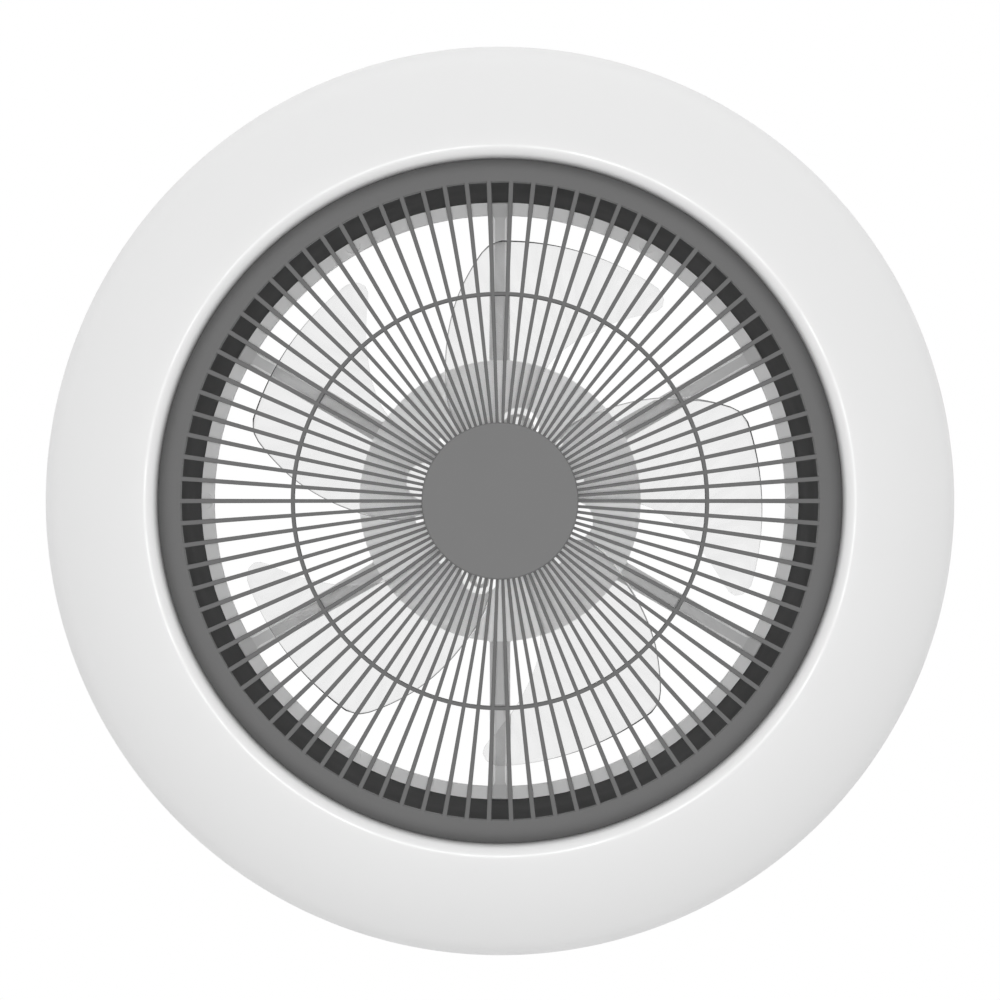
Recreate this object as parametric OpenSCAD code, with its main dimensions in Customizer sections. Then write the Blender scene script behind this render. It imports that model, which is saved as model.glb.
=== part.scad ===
// Flush ceiling fan with a ring lamp round its air duct.
// Origin: centre of the ceiling bracket, on the ceiling. +Z points up, so the fan hangs below Z = 0.
// All sizes are in millimetres.

/* [Overall] */
// Outer diameter of the ring lamp
lamp_d = 500; // [480:1:600]
// Air gap between the ceiling and the top of the frame
canopy_h = 66; // [56:1:90]
// Height of the air duct, from the grille's lower face to the frame
duct_h = 90; // [88:1:110]
// Inner diameter of the air duct
duct_d = 343.6; // [320:0.2:346]
// Thickness of the duct's wall
duct_t = 2.5; // [2:0.1:3]

/* [Frame] */
// Thickness of the moulded frame plate
frame_t = 4; // [3:0.5:6]
// How far the frame's central disc stands out past the canopy
disc_lip = 3.4; // [2:0.2:8]
// How far the frame's rim reaches in past the duct's wall
rim_lip = 7.2; // [4:0.2:12]
// How far the frame's rim reaches out past the duct's inner face
rim_flange = 27.2; // [25:0.2:30]
// Width of a frame arm
arm_w = 11.8; // [11:0.2:16]
// Height of a frame arm
arm_h = 12; // [11:0.5:16]
// Width of the groove in an arm's lower face
groove_w = 5.6; // [4.4:0.2:6]
// Depth of the groove in an arm's lower face
groove_h = 5; // [3:0.5:6]
// Diameter of the large access holes in the disc
access_d = 22.4; // [16:0.2:24]
// Pitch circle of the large access holes
access_pcd = 88.2; // [86:0.2:92]
// Diameter of the small holes in the disc
vent_d = 4.6; // [3:0.2:6]
// Pitch circle of the small holes
vent_pcd = 95.6; // [94:0.2:100]

/* [Ceiling bracket and canopy] */
// Thickness of the bracket's steel sheet
bracket_t = 2; // [1.5:0.5:3]
// Width of a bracket arm
bracket_arm_w = 14; // [12:1:16]
// How far the ceiling screws lie in from the bracket's ears
ceiling_screw_in = 16; // [12:1:24]
// Diameter of the ceiling screw holes
ceiling_hole_d = 5.2; // [4:0.2:6]
// Diameter of the supply cable's hole
cable_hole_d = 24; // [16:1:30]
// Outer diameter of the canopy
canopy_d = 155; // [150:0.5:158]
// Thickness of the canopy's wall
canopy_t = 1.2; // [0.8:0.1:2]

/* [Ring lamp] */
// Radius of the rolled lip
lip_r = 6.5; // [5:0.5:8]
// Radius of the lamp's side curve
side_r = 30; // [24:1:34]
// Height of the side curve's centre above the grille's lower face
side_h = 32.6; // [30:0.2:36]
// Thickness of the opal diffuser
diffuser_t = 2; // [1.5:0.1:2.5]
// Thickness of the lamp pan
pan_t = 2; // [1.5:0.1:3]
// Radius of the pan's shoulder
pan_corner_r = 26; // [20:1:30]
// Thickness of the light tray
tray_t = 1.2; // [0.8:0.1:2]
// Number of light boards round the ring
boards = 4; // [3:1:6]
// Number of light sources in each of the two rows
row_leds = 48; // [24:12:60]

/* [Grille] */
// Number of radial bars
bars = 90; // [60:6:96]
// Width of a bar at the hub cap
bar_in_w = 1.6; // [1.2:0.1:2]
// Width of a bar at the duct's wall
bar_out_w = 2.5; // [1.8:0.1:3]
// Depth of a bar
bar_h = 4.5; // [3.5:0.1:6]
// How far the ring that ties the bars lies in from the duct's wall
tie_ring_in = 60.2; // [40:0.2:80]
// Width of the tie ring
tie_ring_w = 2; // [1.5:0.1:4]
// Diameter of the hub cap
hub_cap_d = 84.4; // [80:0.2:90]
// Width of the grille's bezel, from the duct's inner face to the lamp's lip
bezel_w = 12.4; // [10:0.2:20]
// How far the bezel turns up at its outer edge
bezel_rise = 3.6; // [2:0.2:4]

/* [Blade wheel] */
// Number of blades
blades = 5; // [3:1:7]
// Gap between the blade tips and the duct's wall
tip_gap = 25.4; // [10:0.2:40]
// Wall of the blade wheel's hub
hub_wall = 3; // [2:0.5:4]
// Height of the blade wheel's hub
hub_h = 27; // [24:0.5:30]
// How far the leading edge lies below the frame
leading_drop = 33; // [30:0.5:38]
// How far a blade falls from its leading to its trailing edge
blade_drop = 23; // [16:0.5:26]
// Thickness of a blade at its leading edge
leading_t = 2.4; // [1.8:0.1:3]
// Thickness of a blade at its trailing edge
trailing_t = 1.2; // [1:0.1:2]
// How far a blade bows up between its edges
blade_bow = 3; // [0:0.5:5]

/* [Motor] */
// Diameter of the motor's base plate
base_d = 76; // [74:0.5:78]
// Thickness of the motor's base plate
base_t = 3; // [2:0.5:4]
// Outer diameter of the rotor bell
bell_d = 77; // [76.5:0.5:78]
// Wall of the rotor bell
bell_t = 2; // [1.5:0.1:2.4]
// Diameter of the motor shaft
shaft_d = 8; // [8:0.1:8.4]
// Outer diameter of a ball bearing
bearing_d = 22; // [21:0.5:23]
// Width of a ball bearing
bearing_w = 7; // [6:0.5:8]
// Balls in a bearing
balls = 7; // [5:1:7]
// Stack height of the stator core
stack_h = 14; // [10:1:16]
// Teeth on the stator core
teeth = 12; // [9:3:12]
// Magnets in the rotor bell
magnets = 14; // [10:2:16]

/* [Electrics] */
// Side of the square controller case
controller_w = 42; // [36:1:42]
// Height of the controller case
controller_h = 26; // [20:1:30]
// Length of the light driver
driver_l = 110; // [80:1:112]
// Width of the light driver
driver_w = 34; // [28:1:34]
// Height of the light driver
driver_h = 20; // [16:1:21]
// Diameter of the internal leads
lead_d = 4; // [3:0.2:4.2]

/* [Clearances] */
// Gap between pieces that fit round one another
fit_gap = 0.3; // [0.2:0.05:0.5]
// Radial gap between a screw and its hole
screw_gap = 0.25; // [0.1:0.05:0.4]
// Radial gap of a pressed or glued round joint
press_gap = 0.02; // [0.01:0.01:0.05]
// Gap between a ball and its race
ball_gap = 0.04; // [0.02:0.01:0.08]

/* [Hidden] */
$fn = 96;

// Heights
frame_top_z = -canopy_h;
frame_z = frame_top_z - frame_t;
grille_z = frame_z - duct_h;

// Radii of the duct and its flanges
duct_r = duct_d / 2;
duct_out_r = duct_r + duct_t;
rim_in_r = duct_r - rim_lip;
rim_out_r = duct_r + rim_flange;
flange_t = 4;
ledge_t = 2.5;
ledge_z = grille_z + 15.3;
pan_hole_r = rim_out_r - 8;
bezel_r = duct_r + bezel_w;
lip_gap = 0.5;
lip_in_r = bezel_r + lip_gap;
ledge_r = lip_in_r + diffuser_t + 3.3;
frame_screw_r = (rim_out_r + pan_hole_r) / 2;

// Frame
disc_r = canopy_d / 2 + disc_lip;
first_arm_a = 30;
arm_count = 6;
arm_pitch = 360 / arm_count;
first_access_a = 15;
access_holes = 4;
vent_angles = [46, 135.5, 166];
boss_d = 9.4;
boss_h = 2.5;
pan_boss_d = 7.6;
ridge_w = 0.9;
arm_root_r = 1.6;
pocket_w = 9.8;
pocket_run = 6.3;
pocket_in_r = rim_in_r - 4;
arm_bevel_h = 3.5;
spigot_t = 3;
spigot_h = 12;
spigot_r = canopy_d / 2 - canopy_t - fit_gap;
tray_groove_h = 4.6;
lead_groove_w = lead_d + 2 * fit_gap + 0.4;

// Small machine screws: shank, head diameter, head height
m3 = [3, 5.6, 1.8];
m4 = [4, 7.4, 2.4];
pilot_gap = 0.05;

// Ring lamp section, with heights over the grille's lower face
lamp_r = lamp_d / 2;
lip_crest_r = lip_in_r + lip_r;
side_x = lamp_r - side_r;
// The lamp's broad lower curve runs tangent from the lip into the side curve
side_run = side_x - lip_crest_r;
side_rise = side_h + lip_r;
belly_r = (pow(side_run, 2) + pow(side_rise, 2) - pow(side_r, 2)) / (side_rise - side_r) / 2;
belly_z = belly_r - lip_r;
side_a = atan2(side_h - belly_z, side_run);
pan_top = duct_h - flange_t;
tray_h = pan_top - driver_h - 6;
diffuser_h = tray_h - 8;
corner_x = lamp_r - pan_corner_r;
corner_z = pan_top - pan_corner_r;
joint_lap = 6;
tray_in_r = pan_hole_r + 1;
tray_out_r = lamp_r - pan_t - 5;
tray_post_r = tray_out_r - 7;
tray_post_d = 9;
board_in_r = tray_in_r + 8;
board_w = 26;
board_t = 1.6;
board_gap_a = 3;
led_size = [3.5, 2.8, 0.8];
driver_r = tray_in_r + 3 + driver_w / 2;
driver_a = 270;
driver_lead_x = driver_r - 8;
driver_foot = 10;
driver_foot_t = 2;
board_lead_y = driver_l / 2 + 7;
lead_over_tray = 5;
lead_in = 4;

// Blade wheel
hub_gap = 1;
hub_r = bell_d / 2 + hub_gap + hub_wall;
tip_r = duct_r - tip_gap;
hub_top_h = duct_h - 30;
hub_bottom_h = hub_top_h - hub_h;
leading_h = duct_h - leading_drop;
blade_root_r = hub_r - hub_wall / 2;
first_blade_a = 180;
// One blade's outline from root to tip: share of the way out, leading angle, trailing angle
blade_outline = [
    [0, -48.5, 0], [0.12, -48, 0], [0.26, -44.8, 0.2], [0.38, -40.6, 2], [0.5, -36.9, 6],
    [0.62, -33.2, 10.8], [0.73, -29.7, 15.2], [0.83, -26.2, 19.2], [0.9, -23.7, 21.6],
    [0.95, -21.8, 21.7], [0.98, -20.1, 20.6], [1, -17.6, 18.6]
];
chord_steps = 10;

// Motor, with heights down from the frame's lower face
bell_r = bell_d / 2;
bell_in_r = bell_r - bell_t;
bell_top_z = frame_z - 6;
bell_plate_t = 2.5;
bell_plate_z = frame_z - 38;
magnet_t = 2.8;
magnet_h = 20;
air_gap = 0.7;
stator_r = bell_in_r - press_gap - magnet_t - air_gap;
bearing_r = bearing_d / 2;
tube_r = bearing_r + 3;
tube_bottom_z = frame_z - 32;
shaft_r = shaft_d / 2;
race_wall = 1.9;
race_groove = 0.38;
race_r = (shaft_r + bearing_r) / 2;
ball_r = (bearing_r - shaft_r) / 2 - race_wall + race_groove;
cage_h = 2 * ball_r + 1.24;
upper_bearing_z = frame_z - bearing_w;
lower_bearing_z = tube_bottom_z;
core_z = frame_z - 24;
yoke_w = 5;
tooth_w = 4;
slot_opening = 2.4;
coil_t = 2.4;
motor_screw_pcd = base_d - 14;
disc_bore_r = 10;
clip_t = 1;
motor_lead_r = tube_r + 6;
motor_lead_a = 90;
first_motor_screw_a = 60;
blade_plate_t = 3;
blade_plate_z = bell_plate_z - blade_plate_t;
blade_screw_pcd = bell_d - 21;
bell_boss_r = shaft_r + 2;
wheel_bore_r = shaft_r + 4;
nut_r = wheel_bore_r + 4;
nut_h = 9;

// Canopy contents
bracket_z = -bracket_t;
bracket_a = 60;
bracket_arms = 4;
ear_x = canopy_d / 2 - canopy_t - 1.3;
ceiling_screw_r = ear_x - ceiling_screw_in;
ear_h = 16;
lug_a = 105;
lug_w = 18;
lug_end_r = access_pcd / 2 + 0.9;
// Slot in a lug: width and the radii of its two ends
lug_slot = [4.5, access_pcd / 2 - 6.1, access_pcd / 2 + 5.9];
canopy_screw_z = -10;
spigot_screw_z = frame_top_z + spigot_h / 2;
spigot_screws = 4;
first_spigot_screw_a = 45;
controller_z = frame_top_z + 7;
controller_wall = 1.6;
lid_t = 2;
lamp_lead_y = 9;
lamp_lead_h = 9.2;
case_foot_h = controller_z - frame_top_z;
lead_bend_r = 4;
// Terminal block: length out from the centre, width, height
terminal_size = [32, 14, 16];
terminal_r = 20;
terminal_a = 240;
terminal_screw_r = 16;
poles = 3;
supply_lead_x = 4;
supply_lead_y = -terminal_size[1] / 2 - lead_bend_r - 1;
lead_arm_a = 270;
lead_entry_d = lead_d + 1;
lead_hole_r = rim_out_r + 8;

// Points along an arc, from angle a0 to a1
function arc(c, r, a0, a1, n = 12) =
    [for (i = [0:n]) let(a = a0 + (a1 - a0) * i / n) [c[0] + r * cos(a), c[1] + r * sin(a)]];

module ring(r_in, r_out, h) {
    difference() {
        cylinder(r = r_out, h = h);
        translate([0, 0, -1]) cylinder(r = r_in, h = h + 2);
    }
}

// Copies its children round the axis at a radius
module around(count, r, first = 0) {
    for (i = [0:count - 1]) rotate(first + i * 360 / count) translate([r, 0, 0]) children();
}

// A pan-head screw whose head sits on z = 0 and whose shank points down
module screw(size, length) {
    translate([0, 0, -length]) cylinder(d = size[0], h = length);
    difference() {
        cylinder(d = size[1], h = size[2]);
        translate([0, 0, size[2] * 0.45]) {
            translate([-size[1] * 0.32, -0.4, 0]) cube([size[1] * 0.64, 0.8, size[2]]);
            translate([-0.4, -size[1] * 0.32, 0]) cube([0.8, size[1] * 0.64, size[2]]);
        }
    }
}

// ---- Ceiling bracket and canopy ----

module bracket_plate() {
    difference() {
        union() {
            circle(r = 30);
            for (i = [0:bracket_arms - 1])
                rotate(bracket_a + i * 90) translate([0, -bracket_arm_w / 2])
                    square([ear_x, bracket_arm_w]);
            for (a = [lug_a, lug_a + 180]) rotate(a) {
                translate([0, -lug_w / 2]) square([lug_end_r, lug_w]);
                translate([lug_end_r, 0]) circle(d = lug_w);
            }
        }
        circle(d = cable_hole_d);
        around(bracket_arms, ceiling_screw_r, bracket_a) circle(d = ceiling_hole_d);
        for (a = [lug_a, lug_a + 180]) rotate(a) {
            translate([lug_slot[1], -lug_slot[0] / 2]) square([lug_slot[2] - lug_slot[1], lug_slot[0]]);
            for (x = [lug_slot[1], lug_slot[2]]) translate([x, 0]) circle(d = lug_slot[0]);
        }
    }
}

module ceiling_bracket() {
    color("silver") difference() {
        union() {
            translate([0, 0, bracket_z]) linear_extrude(bracket_t) bracket_plate();
            for (i = [0:bracket_arms - 1])
                rotate(bracket_a + i * 90) translate([ear_x - bracket_t, -bracket_arm_w / 2, -ear_h])
                    cube([bracket_t, bracket_arm_w, ear_h]);
        }
        for (i = [0:bracket_arms - 1])
            rotate(bracket_a + i * 90) translate([ear_x - bracket_t - 1, 0, canopy_screw_z])
                rotate([0, 90, 0]) cylinder(d = m4[0] + 2 * pilot_gap, h = bracket_t + 2);
        rotate(terminal_a) translate([terminal_screw_r, 0, bracket_z - 1])
            cylinder(d = m3[0] + 2 * pilot_gap, h = bracket_t + 2);
    }
}

module canopy() {
    r = canopy_d / 2;
    color("white") difference() {
        union() {
            translate([0, 0, frame_top_z]) ring(r - canopy_t, r, canopy_h - fit_gap);
            // rolled top edge
            translate([0, 0, -fit_gap - 2]) ring(r - canopy_t, r + 1, 2);
        }
        around(bracket_arms, ear_x, bracket_a) translate([0, 0, canopy_screw_z]) rotate([0, 90, 0])
            cylinder(d = m4[0] + 2 * screw_gap, h = 20);
        around(spigot_screws, ear_x, first_spigot_screw_a) translate([0, 0, spigot_screw_z])
            rotate([0, 90, 0]) cylinder(d = m4[0] + 2 * screw_gap, h = 20);
        // notch for the lamp's lead
        rotate(lead_arm_a) translate([r - 10, -lead_groove_w / 2, frame_top_z - 1])
            cube([20, lead_groove_w, arm_h - frame_t + 1 + fit_gap]);
    }
}

module canopy_screws() {
    r = canopy_d / 2;
    color("gainsboro") {
        around(bracket_arms, r, bracket_a) translate([0, 0, canopy_screw_z])
            rotate([0, 90, 0]) screw(m4, 8);
        around(spigot_screws, r, first_spigot_screw_a) translate([0, 0, spigot_screw_z])
            rotate([0, 90, 0]) screw(m4, 7);
    }
}

// ---- Frame: disc, arms and rim in one moulding ----

// Cross-section of an arm, upright: x across, y up from the frame's lower face
module arm_section() {
    half = arm_w / 2;
    ridge = groove_w / 2 + ridge_w;
    difference() {
        polygon([[-half, arm_h], [-half, arm_bevel_h], [-ridge, 0],
                 [ridge, 0], [half, arm_bevel_h], [half, arm_h]]);
        translate([-groove_w / 2, -1]) square([groove_w, groove_h + 1]);
        translate([-lead_groove_w / 2, arm_h - tray_groove_h])
            square([lead_groove_w, tray_groove_h + 1]);
    }
}

// Fillet where an arm's side meets the disc
module arm_root_fillet() {
    r = arm_root_r;
    // the curve starts a little inside the disc's edge
    x0 = sqrt(pow(disc_r, 2) - pow(arm_w / 2 + r, 2)) - 0.2;
    for (side = [-1, 1]) scale([1, side]) polygon(concat(
        [[disc_r - 2, arm_w / 2 - 1], [x0 - 1, arm_w / 2 + r]],
        arc([x0 + r, arm_w / 2 + r], r, 180, 270, 6),
        [[x0 + r, arm_w / 2 - 1]]));
}

// Pocket where a groove runs out over the rim: its sides widen in an S-curve
module rim_pocket() {
    inner = groove_w / 2 - 0.1;
    outer = pocket_w / 2;
    side = [for (i = [0:8]) [pocket_in_r + pocket_run * i / 8,
                             inner + (outer - inner) * (1 - cos(180 * i / 8)) / 2]];
    polygon(concat(side, [[duct_r, outer], [duct_r, -outer]],
                   [for (i = [8:-1:0]) [side[i][0], -side[i][1]]]));
}

module frame() {
    arm_end = rim_out_r - 3;
    color("whitesmoke") difference() {
        union() {
            translate([0, 0, frame_z]) {
                cylinder(r = disc_r, h = frame_t);
                ring(rim_in_r, rim_out_r, frame_t);
                for (i = [0:arm_count - 1]) rotate(first_arm_a + i * arm_pitch) {
                    translate([disc_r - 2, 0, 0]) rotate([90, 0, 90])
                        linear_extrude(arm_end - disc_r + 2) arm_section();
                    translate([0, 0, 1]) linear_extrude(arm_h - 3) arm_root_fillet();
                }
            }
            // spigot that the canopy fits over
            translate([0, 0, frame_top_z - 1]) ring(spigot_r - spigot_t, spigot_r, spigot_h + 1);
            // pads on the rim, midway between the arms
            translate([0, 0, frame_z - boss_h]) intersection() {
                around(arm_count, duct_r - 2, first_arm_a + arm_pitch / 2)
                    cylinder(d = boss_d, h = boss_h + 1);
                cylinder(r = duct_r - fit_gap, h = boss_h + 1);
            }
        }
        // pockets where the grooves run out over the rim
        for (i = [0:arm_count - 1]) rotate(first_arm_a + i * arm_pitch)
            translate([0, 0, frame_z - 1]) linear_extrude(groove_h + 1) rim_pocket();
        around(access_holes, access_pcd / 2, first_access_a)
            translate([0, 0, frame_z - 1]) cylinder(d = access_d, h = frame_t + 2);
        for (a = vent_angles, turn = [0, 180]) rotate(a + turn)
            translate([vent_pcd / 2, 0, frame_z - 1]) cylinder(d = vent_d, h = frame_t + 2);
        translate([0, 0, frame_z - 1]) cylinder(r = disc_bore_r, h = frame_t + 2);
        rotate(motor_lead_a) translate([motor_lead_r, 0, frame_z - 1])
            cylinder(d = lead_d + 2, h = frame_t + 2);
        around(4, motor_screw_pcd / 2, first_motor_screw_a) translate([0, 0, frame_z - 1])
            cylinder(d = m4[0] + 2 * screw_gap, h = frame_t + 2);
        around(arm_count, frame_screw_r, first_arm_a + arm_pitch / 2) translate([0, 0, frame_z - 1])
            cylinder(d = m4[0] + 2 * screw_gap, h = frame_t + 2);
        // pilot holes for the canopy's lower screws
        around(spigot_screws, spigot_r - spigot_t - 1, first_spigot_screw_a)
            translate([0, 0, spigot_screw_z]) rotate([0, 90, 0])
                cylinder(d = m4[0] + 2 * pilot_gap, h = spigot_t + 2);
        // gap in the spigot for the lamp's lead
        rotate(lead_arm_a) translate([spigot_r - spigot_t - 1, -lead_groove_w / 2, frame_top_z + 1])
            cube([spigot_t + 2, lead_groove_w, spigot_h]);
        // pilot holes for the controller's feet
        for (x = [-1, 1]) rotate(motor_lead_a) translate([0, x * (controller_w / 2 + 4), frame_z - 1])
            cylinder(d = m3[0] + 2 * pilot_gap, h = frame_t + 2);
    }
}

module frame_screws() {
    color("gainsboro") around(arm_count, frame_screw_r, first_arm_a + arm_pitch / 2)
        translate([0, 0, frame_top_z]) screw(m4, 14);
}

// ---- Air duct and lamp ----

module air_duct() {
    bottom_z = grille_z + bar_h + fit_gap;
    color("dimgray") difference() {
        union() {
            translate([0, 0, bottom_z]) ring(duct_r, duct_out_r, frame_z - bottom_z);
            translate([0, 0, frame_z - flange_t]) ring(duct_r, rim_out_r, flange_t);
            // ledge that the diffuser's inner edge stops against
            translate([0, 0, ledge_z]) ring(duct_r, ledge_r, ledge_t);
            // studs that the grille's bayonet slots turn onto
            translate([0, 0, grille_z + 8]) around(arm_count, duct_out_r - 1, first_arm_a)
                translate([0, -3, 0]) cube([3.2, 6, 3]);
        }
        around(arm_count, frame_screw_r, first_arm_a + arm_pitch / 2)
            translate([0, 0, frame_z - flange_t - 1])
                cylinder(d = m4[0] + 2 * screw_gap, h = flange_t + 2);
    }
}

// Section of the lamp pan, heights over the grille's lower face
module pan_section() {
    polygon(concat(
        [[lamp_r, diffuser_h + fit_gap]],
        arc([corner_x, corner_z], pan_corner_r, 0, 90, 14),
        [[pan_hole_r, pan_top], [pan_hole_r, pan_top - pan_t]],
        arc([corner_x, corner_z], pan_corner_r - pan_t, 90, 0, 14),
        [[lamp_r - pan_t, diffuser_h + fit_gap]]));
}

// All that lies within the pan's mid-skin
module pan_fill() {
    polygon(concat(
        [[pan_hole_r, tray_h], [lamp_r - pan_t / 2, tray_h]],
        arc([corner_x, corner_z], pan_corner_r - pan_t / 2, 0, 90, 14),
        [[pan_hole_r, pan_top - pan_t / 2]]));
}

module lamp_pan() {
    post_top = pan_top - pan_t / 2;
    color("white") translate([0, 0, grille_z]) difference() {
        union() {
            rotate_extrude($fn = 180) pan_section();
            // posts that hold the light tray, cut off within the shoulder's skin
            intersection() {
                around(arm_count, tray_post_r, first_arm_a) translate([0, 0, tray_h + tray_t])
                    cylinder(d = tray_post_d, h = post_top - tray_h - tray_t);
                rotate_extrude($fn = 180) pan_fill();
            }
            // bosses under the frame's screws
            around(arm_count, frame_screw_r, first_arm_a + arm_pitch / 2)
                translate([0, 0, pan_top - 12]) cylinder(d = pan_boss_d, h = 11);
        }
        around(arm_count, tray_post_r, first_arm_a) translate([0, 0, tray_h])
            cylinder(d = m3[0] + 2 * pilot_gap, h = 12);
        around(arm_count, frame_screw_r, first_arm_a + arm_pitch / 2)
            translate([0, 0, pan_top - 11]) cylinder(d = m4[0] + 2 * pilot_gap, h = 12);
        rotate(lead_arm_a) translate([lead_hole_r, 0, pan_top - pan_t - 1])
            cylinder(d = lead_d + 5, h = pan_t + 2);
    }
}

module light_tray() {
    color("gainsboro") translate([0, 0, grille_z + tray_h]) difference() {
        ring(tray_in_r, tray_out_r, tray_t);
        around(arm_count, tray_post_r, first_arm_a) translate([0, 0, -1])
            cylinder(d = m3[0] + 2 * screw_gap, h = tray_t + 2);
        rotate(driver_a) for (y = [-1, 1])
            translate([driver_r, y * (driver_l - driver_foot) / 2, -1])
                cylinder(d = m3[0] + 2 * pilot_gap, h = tray_t + 2);
        // lead to the boards
        rotate(driver_a) translate([driver_lead_x, -board_lead_y, -1])
            cylinder(d = lead_d + 1, h = tray_t + 2);
    }
}

module tray_screws() {
    color("gainsboro") translate([0, 0, grille_z + tray_h])
        around(arm_count, tray_post_r, first_arm_a) rotate([180, 0, 0]) screw(m3, 10);
}

module light_boards() {
    span = 360 / boards - board_gap_a;
    color("ivory") translate([0, 0, grille_z + tray_h - board_t])
        for (i = [0:boards - 1]) rotate(i * 360 / boards + board_gap_a / 2)
            rotate_extrude(angle = span, $fn = 180)
                translate([board_in_r, 0]) square([board_w, board_t]);
}

module light_sources() {
    clear_a = 4;
    span = 360 / boards - board_gap_a - clear_a;
    per_board = row_leds / boards;
    color("lightyellow") translate([0, 0, grille_z + tray_h - board_t - led_size[2]])
        for (b = [0:boards - 1], i = [0:per_board - 1], row = [0.25, 0.75])
            rotate(b * 360 / boards + (board_gap_a + clear_a) / 2 + span * i / (per_board - 1))
                translate([board_in_r + row * board_w - led_size[0] / 2, -led_size[1] / 2, 0])
                    cube(led_size);
}

module light_driver() {
    ribs = 6;
    body_l = driver_l - 2 * driver_foot;
    color("white") rotate(driver_a)
        translate([driver_r - driver_w / 2, -driver_l / 2, grille_z + tray_h + tray_t]) difference() {
            union() {
                translate([0, driver_foot, 0]) cube([driver_w, body_l, driver_h]);
                cube([driver_w, driver_l, driver_foot_t]);
                // moulded ribs on the lid
                for (i = [0:ribs - 1])
                    translate([4, driver_foot + body_l * (i + 0.5) / ribs - 1, driver_h - 1])
                        cube([driver_w - 8, 2, 1.6]);
            }
            for (y = [driver_foot / 2, driver_l - driver_foot / 2]) translate([driver_w / 2, y, -1])
                cylinder(d = m3[0] + 2 * screw_gap, h = driver_foot_t + 2);
            // entries for the lead from above and the one to the boards
            translate([lead_hole_r - driver_r + driver_w / 2, driver_l / 2, driver_h - lead_in])
                cylinder(d = lead_entry_d, h = lead_in + 1);
            translate([driver_lead_x - driver_r + driver_w / 2, driver_foot - 1, lead_over_tray])
                rotate([-90, 0, 0]) cylinder(d = lead_entry_d, h = lead_in + 1);
        }
}

module driver_screws() {
    color("gainsboro") rotate(driver_a) for (y = [-1, 1])
        translate([driver_r, y * (driver_l - driver_foot) / 2, grille_z + tray_h + tray_t + driver_foot_t])
            screw(m3, driver_foot_t + tray_t - 0.1);
}

// Outer profile of the diffuser set in by a depth: lip, belly and side, from inside to outside
function diffuser_edge(depth, n) = concat(
    arc([lip_crest_r, 0], lip_r - depth, 180, 270, n),
    arc([lip_crest_r, belly_z], belly_r - depth, 270, 360 + side_a, 2 * n),
    arc([side_x, side_h], side_r - depth, 360 + side_a, 360, n));

function reversed(list) = [for (i = [len(list) - 1:-1:0]) list[i]];

module diffuser() {
    top = ledge_z - grille_z;
    lap_in_r = lamp_r - pan_t - fit_gap - 2;
    color("white") translate([0, 0, grille_z]) rotate_extrude($fn = 180) union() {
        polygon(concat(
            [[lip_in_r, top]], diffuser_edge(0, 9), [[lamp_r, diffuser_h]],
            [[lamp_r - diffuser_t, diffuser_h]], reversed(diffuser_edge(diffuser_t, 9)),
            [[lip_in_r + diffuser_t, top]]));
        // spigot that snaps inside the pan's edge
        translate([lap_in_r, diffuser_h - joint_lap]) square([2, 2 * joint_lap]);
        translate([lap_in_r, diffuser_h - joint_lap])
            square([lamp_r - diffuser_t / 2 - lap_in_r, joint_lap - 0.5]);
    }
}

// ---- Grille and hub cap ----

centre_ring_out_r = hub_cap_d / 2 - 0.8;
centre_ring_in_r = centre_ring_out_r - 12;
skirt_in_r = duct_out_r + fit_gap;
skirt_t = 2.4;
skirt_h = 13;

module grille_face() {
    ring_2d(centre_ring_in_r, centre_ring_out_r);
    ring_2d(duct_r - tie_ring_in - tie_ring_w / 2, duct_r - tie_ring_in + tie_ring_w / 2);
    ring_2d(duct_r, skirt_in_r + skirt_t);
    // each bar widens from the centre ring to the duct's wall
    bar_start = centre_ring_out_r - 1;
    bar_end = duct_r + 1;
    around(bars, 0) polygon([[bar_start, -bar_in_w / 2], [bar_end, -bar_out_w / 2],
                             [bar_end, bar_out_w / 2], [bar_start, bar_in_w / 2]]);
}

module ring_2d(r_in, r_out) {
    difference() {
        circle(r = r_out);
        circle(r = r_in);
    }
}

// Bezel that rises in a soft curve from the grille's face to the lamp's lip
module bezel_section() {
    r0 = skirt_in_r + skirt_t - 1;
    w = bezel_r - r0;
    steps = 8;
    function rise(share) = bezel_rise * (1 - cos(75 * share)) / (1 - cos(75));
    lower = [for (i = [0:steps]) [r0 + w * i / steps, rise(i / steps)]];
    upper = [for (i = [steps:-1:0]) [lower[i][0], max(lower[i][1] + 2, bar_h - 1)]];
    polygon(concat(lower, upper));
}

module grille() {
    slot_w = 8;
    color("gray") translate([0, 0, grille_z]) difference() {
        union() {
            linear_extrude(bar_h) grille_face();
            rotate_extrude($fn = 180) bezel_section();
            translate([0, 0, bar_h - 0.5]) ring(skirt_in_r, skirt_in_r + skirt_t, skirt_h - bar_h + 0.5);
        }
        // bayonet slots: a way in from the top edge, then a run to the side
        around(arm_count, skirt_in_r - 1, first_arm_a) {
            translate([0, -slot_w / 2, 7.7]) cube([skirt_t + 2, slot_w, 3.6]);
            translate([0, slot_w / 2 - 1, 7.7]) cube([skirt_t + 2, slot_w, skirt_h]);
        }
    }
}

module hub_cap() {
    cap_r = hub_cap_d / 2;
    snap_r = centre_ring_in_r - fit_gap;
    face_t = 2;
    gap = fit_gap;
    color("gray") translate([0, 0, grille_z]) rotate_extrude($fn = 120) polygon(concat(
        [[0, -face_t - gap]],
        arc([cap_r - 1.2, -face_t - gap + 1.2], 1.2, 270, 360, 5),
        [[cap_r, -gap], [snap_r, -gap], [snap_r, bar_h + gap], [snap_r + 0.9, bar_h + gap + 0.8],
         [snap_r, bar_h + gap + 2], [snap_r - 1.6, bar_h + gap + 2], [snap_r - 1.6, -gap], [0, -gap]]));
}

// ---- Motor ----

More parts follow.
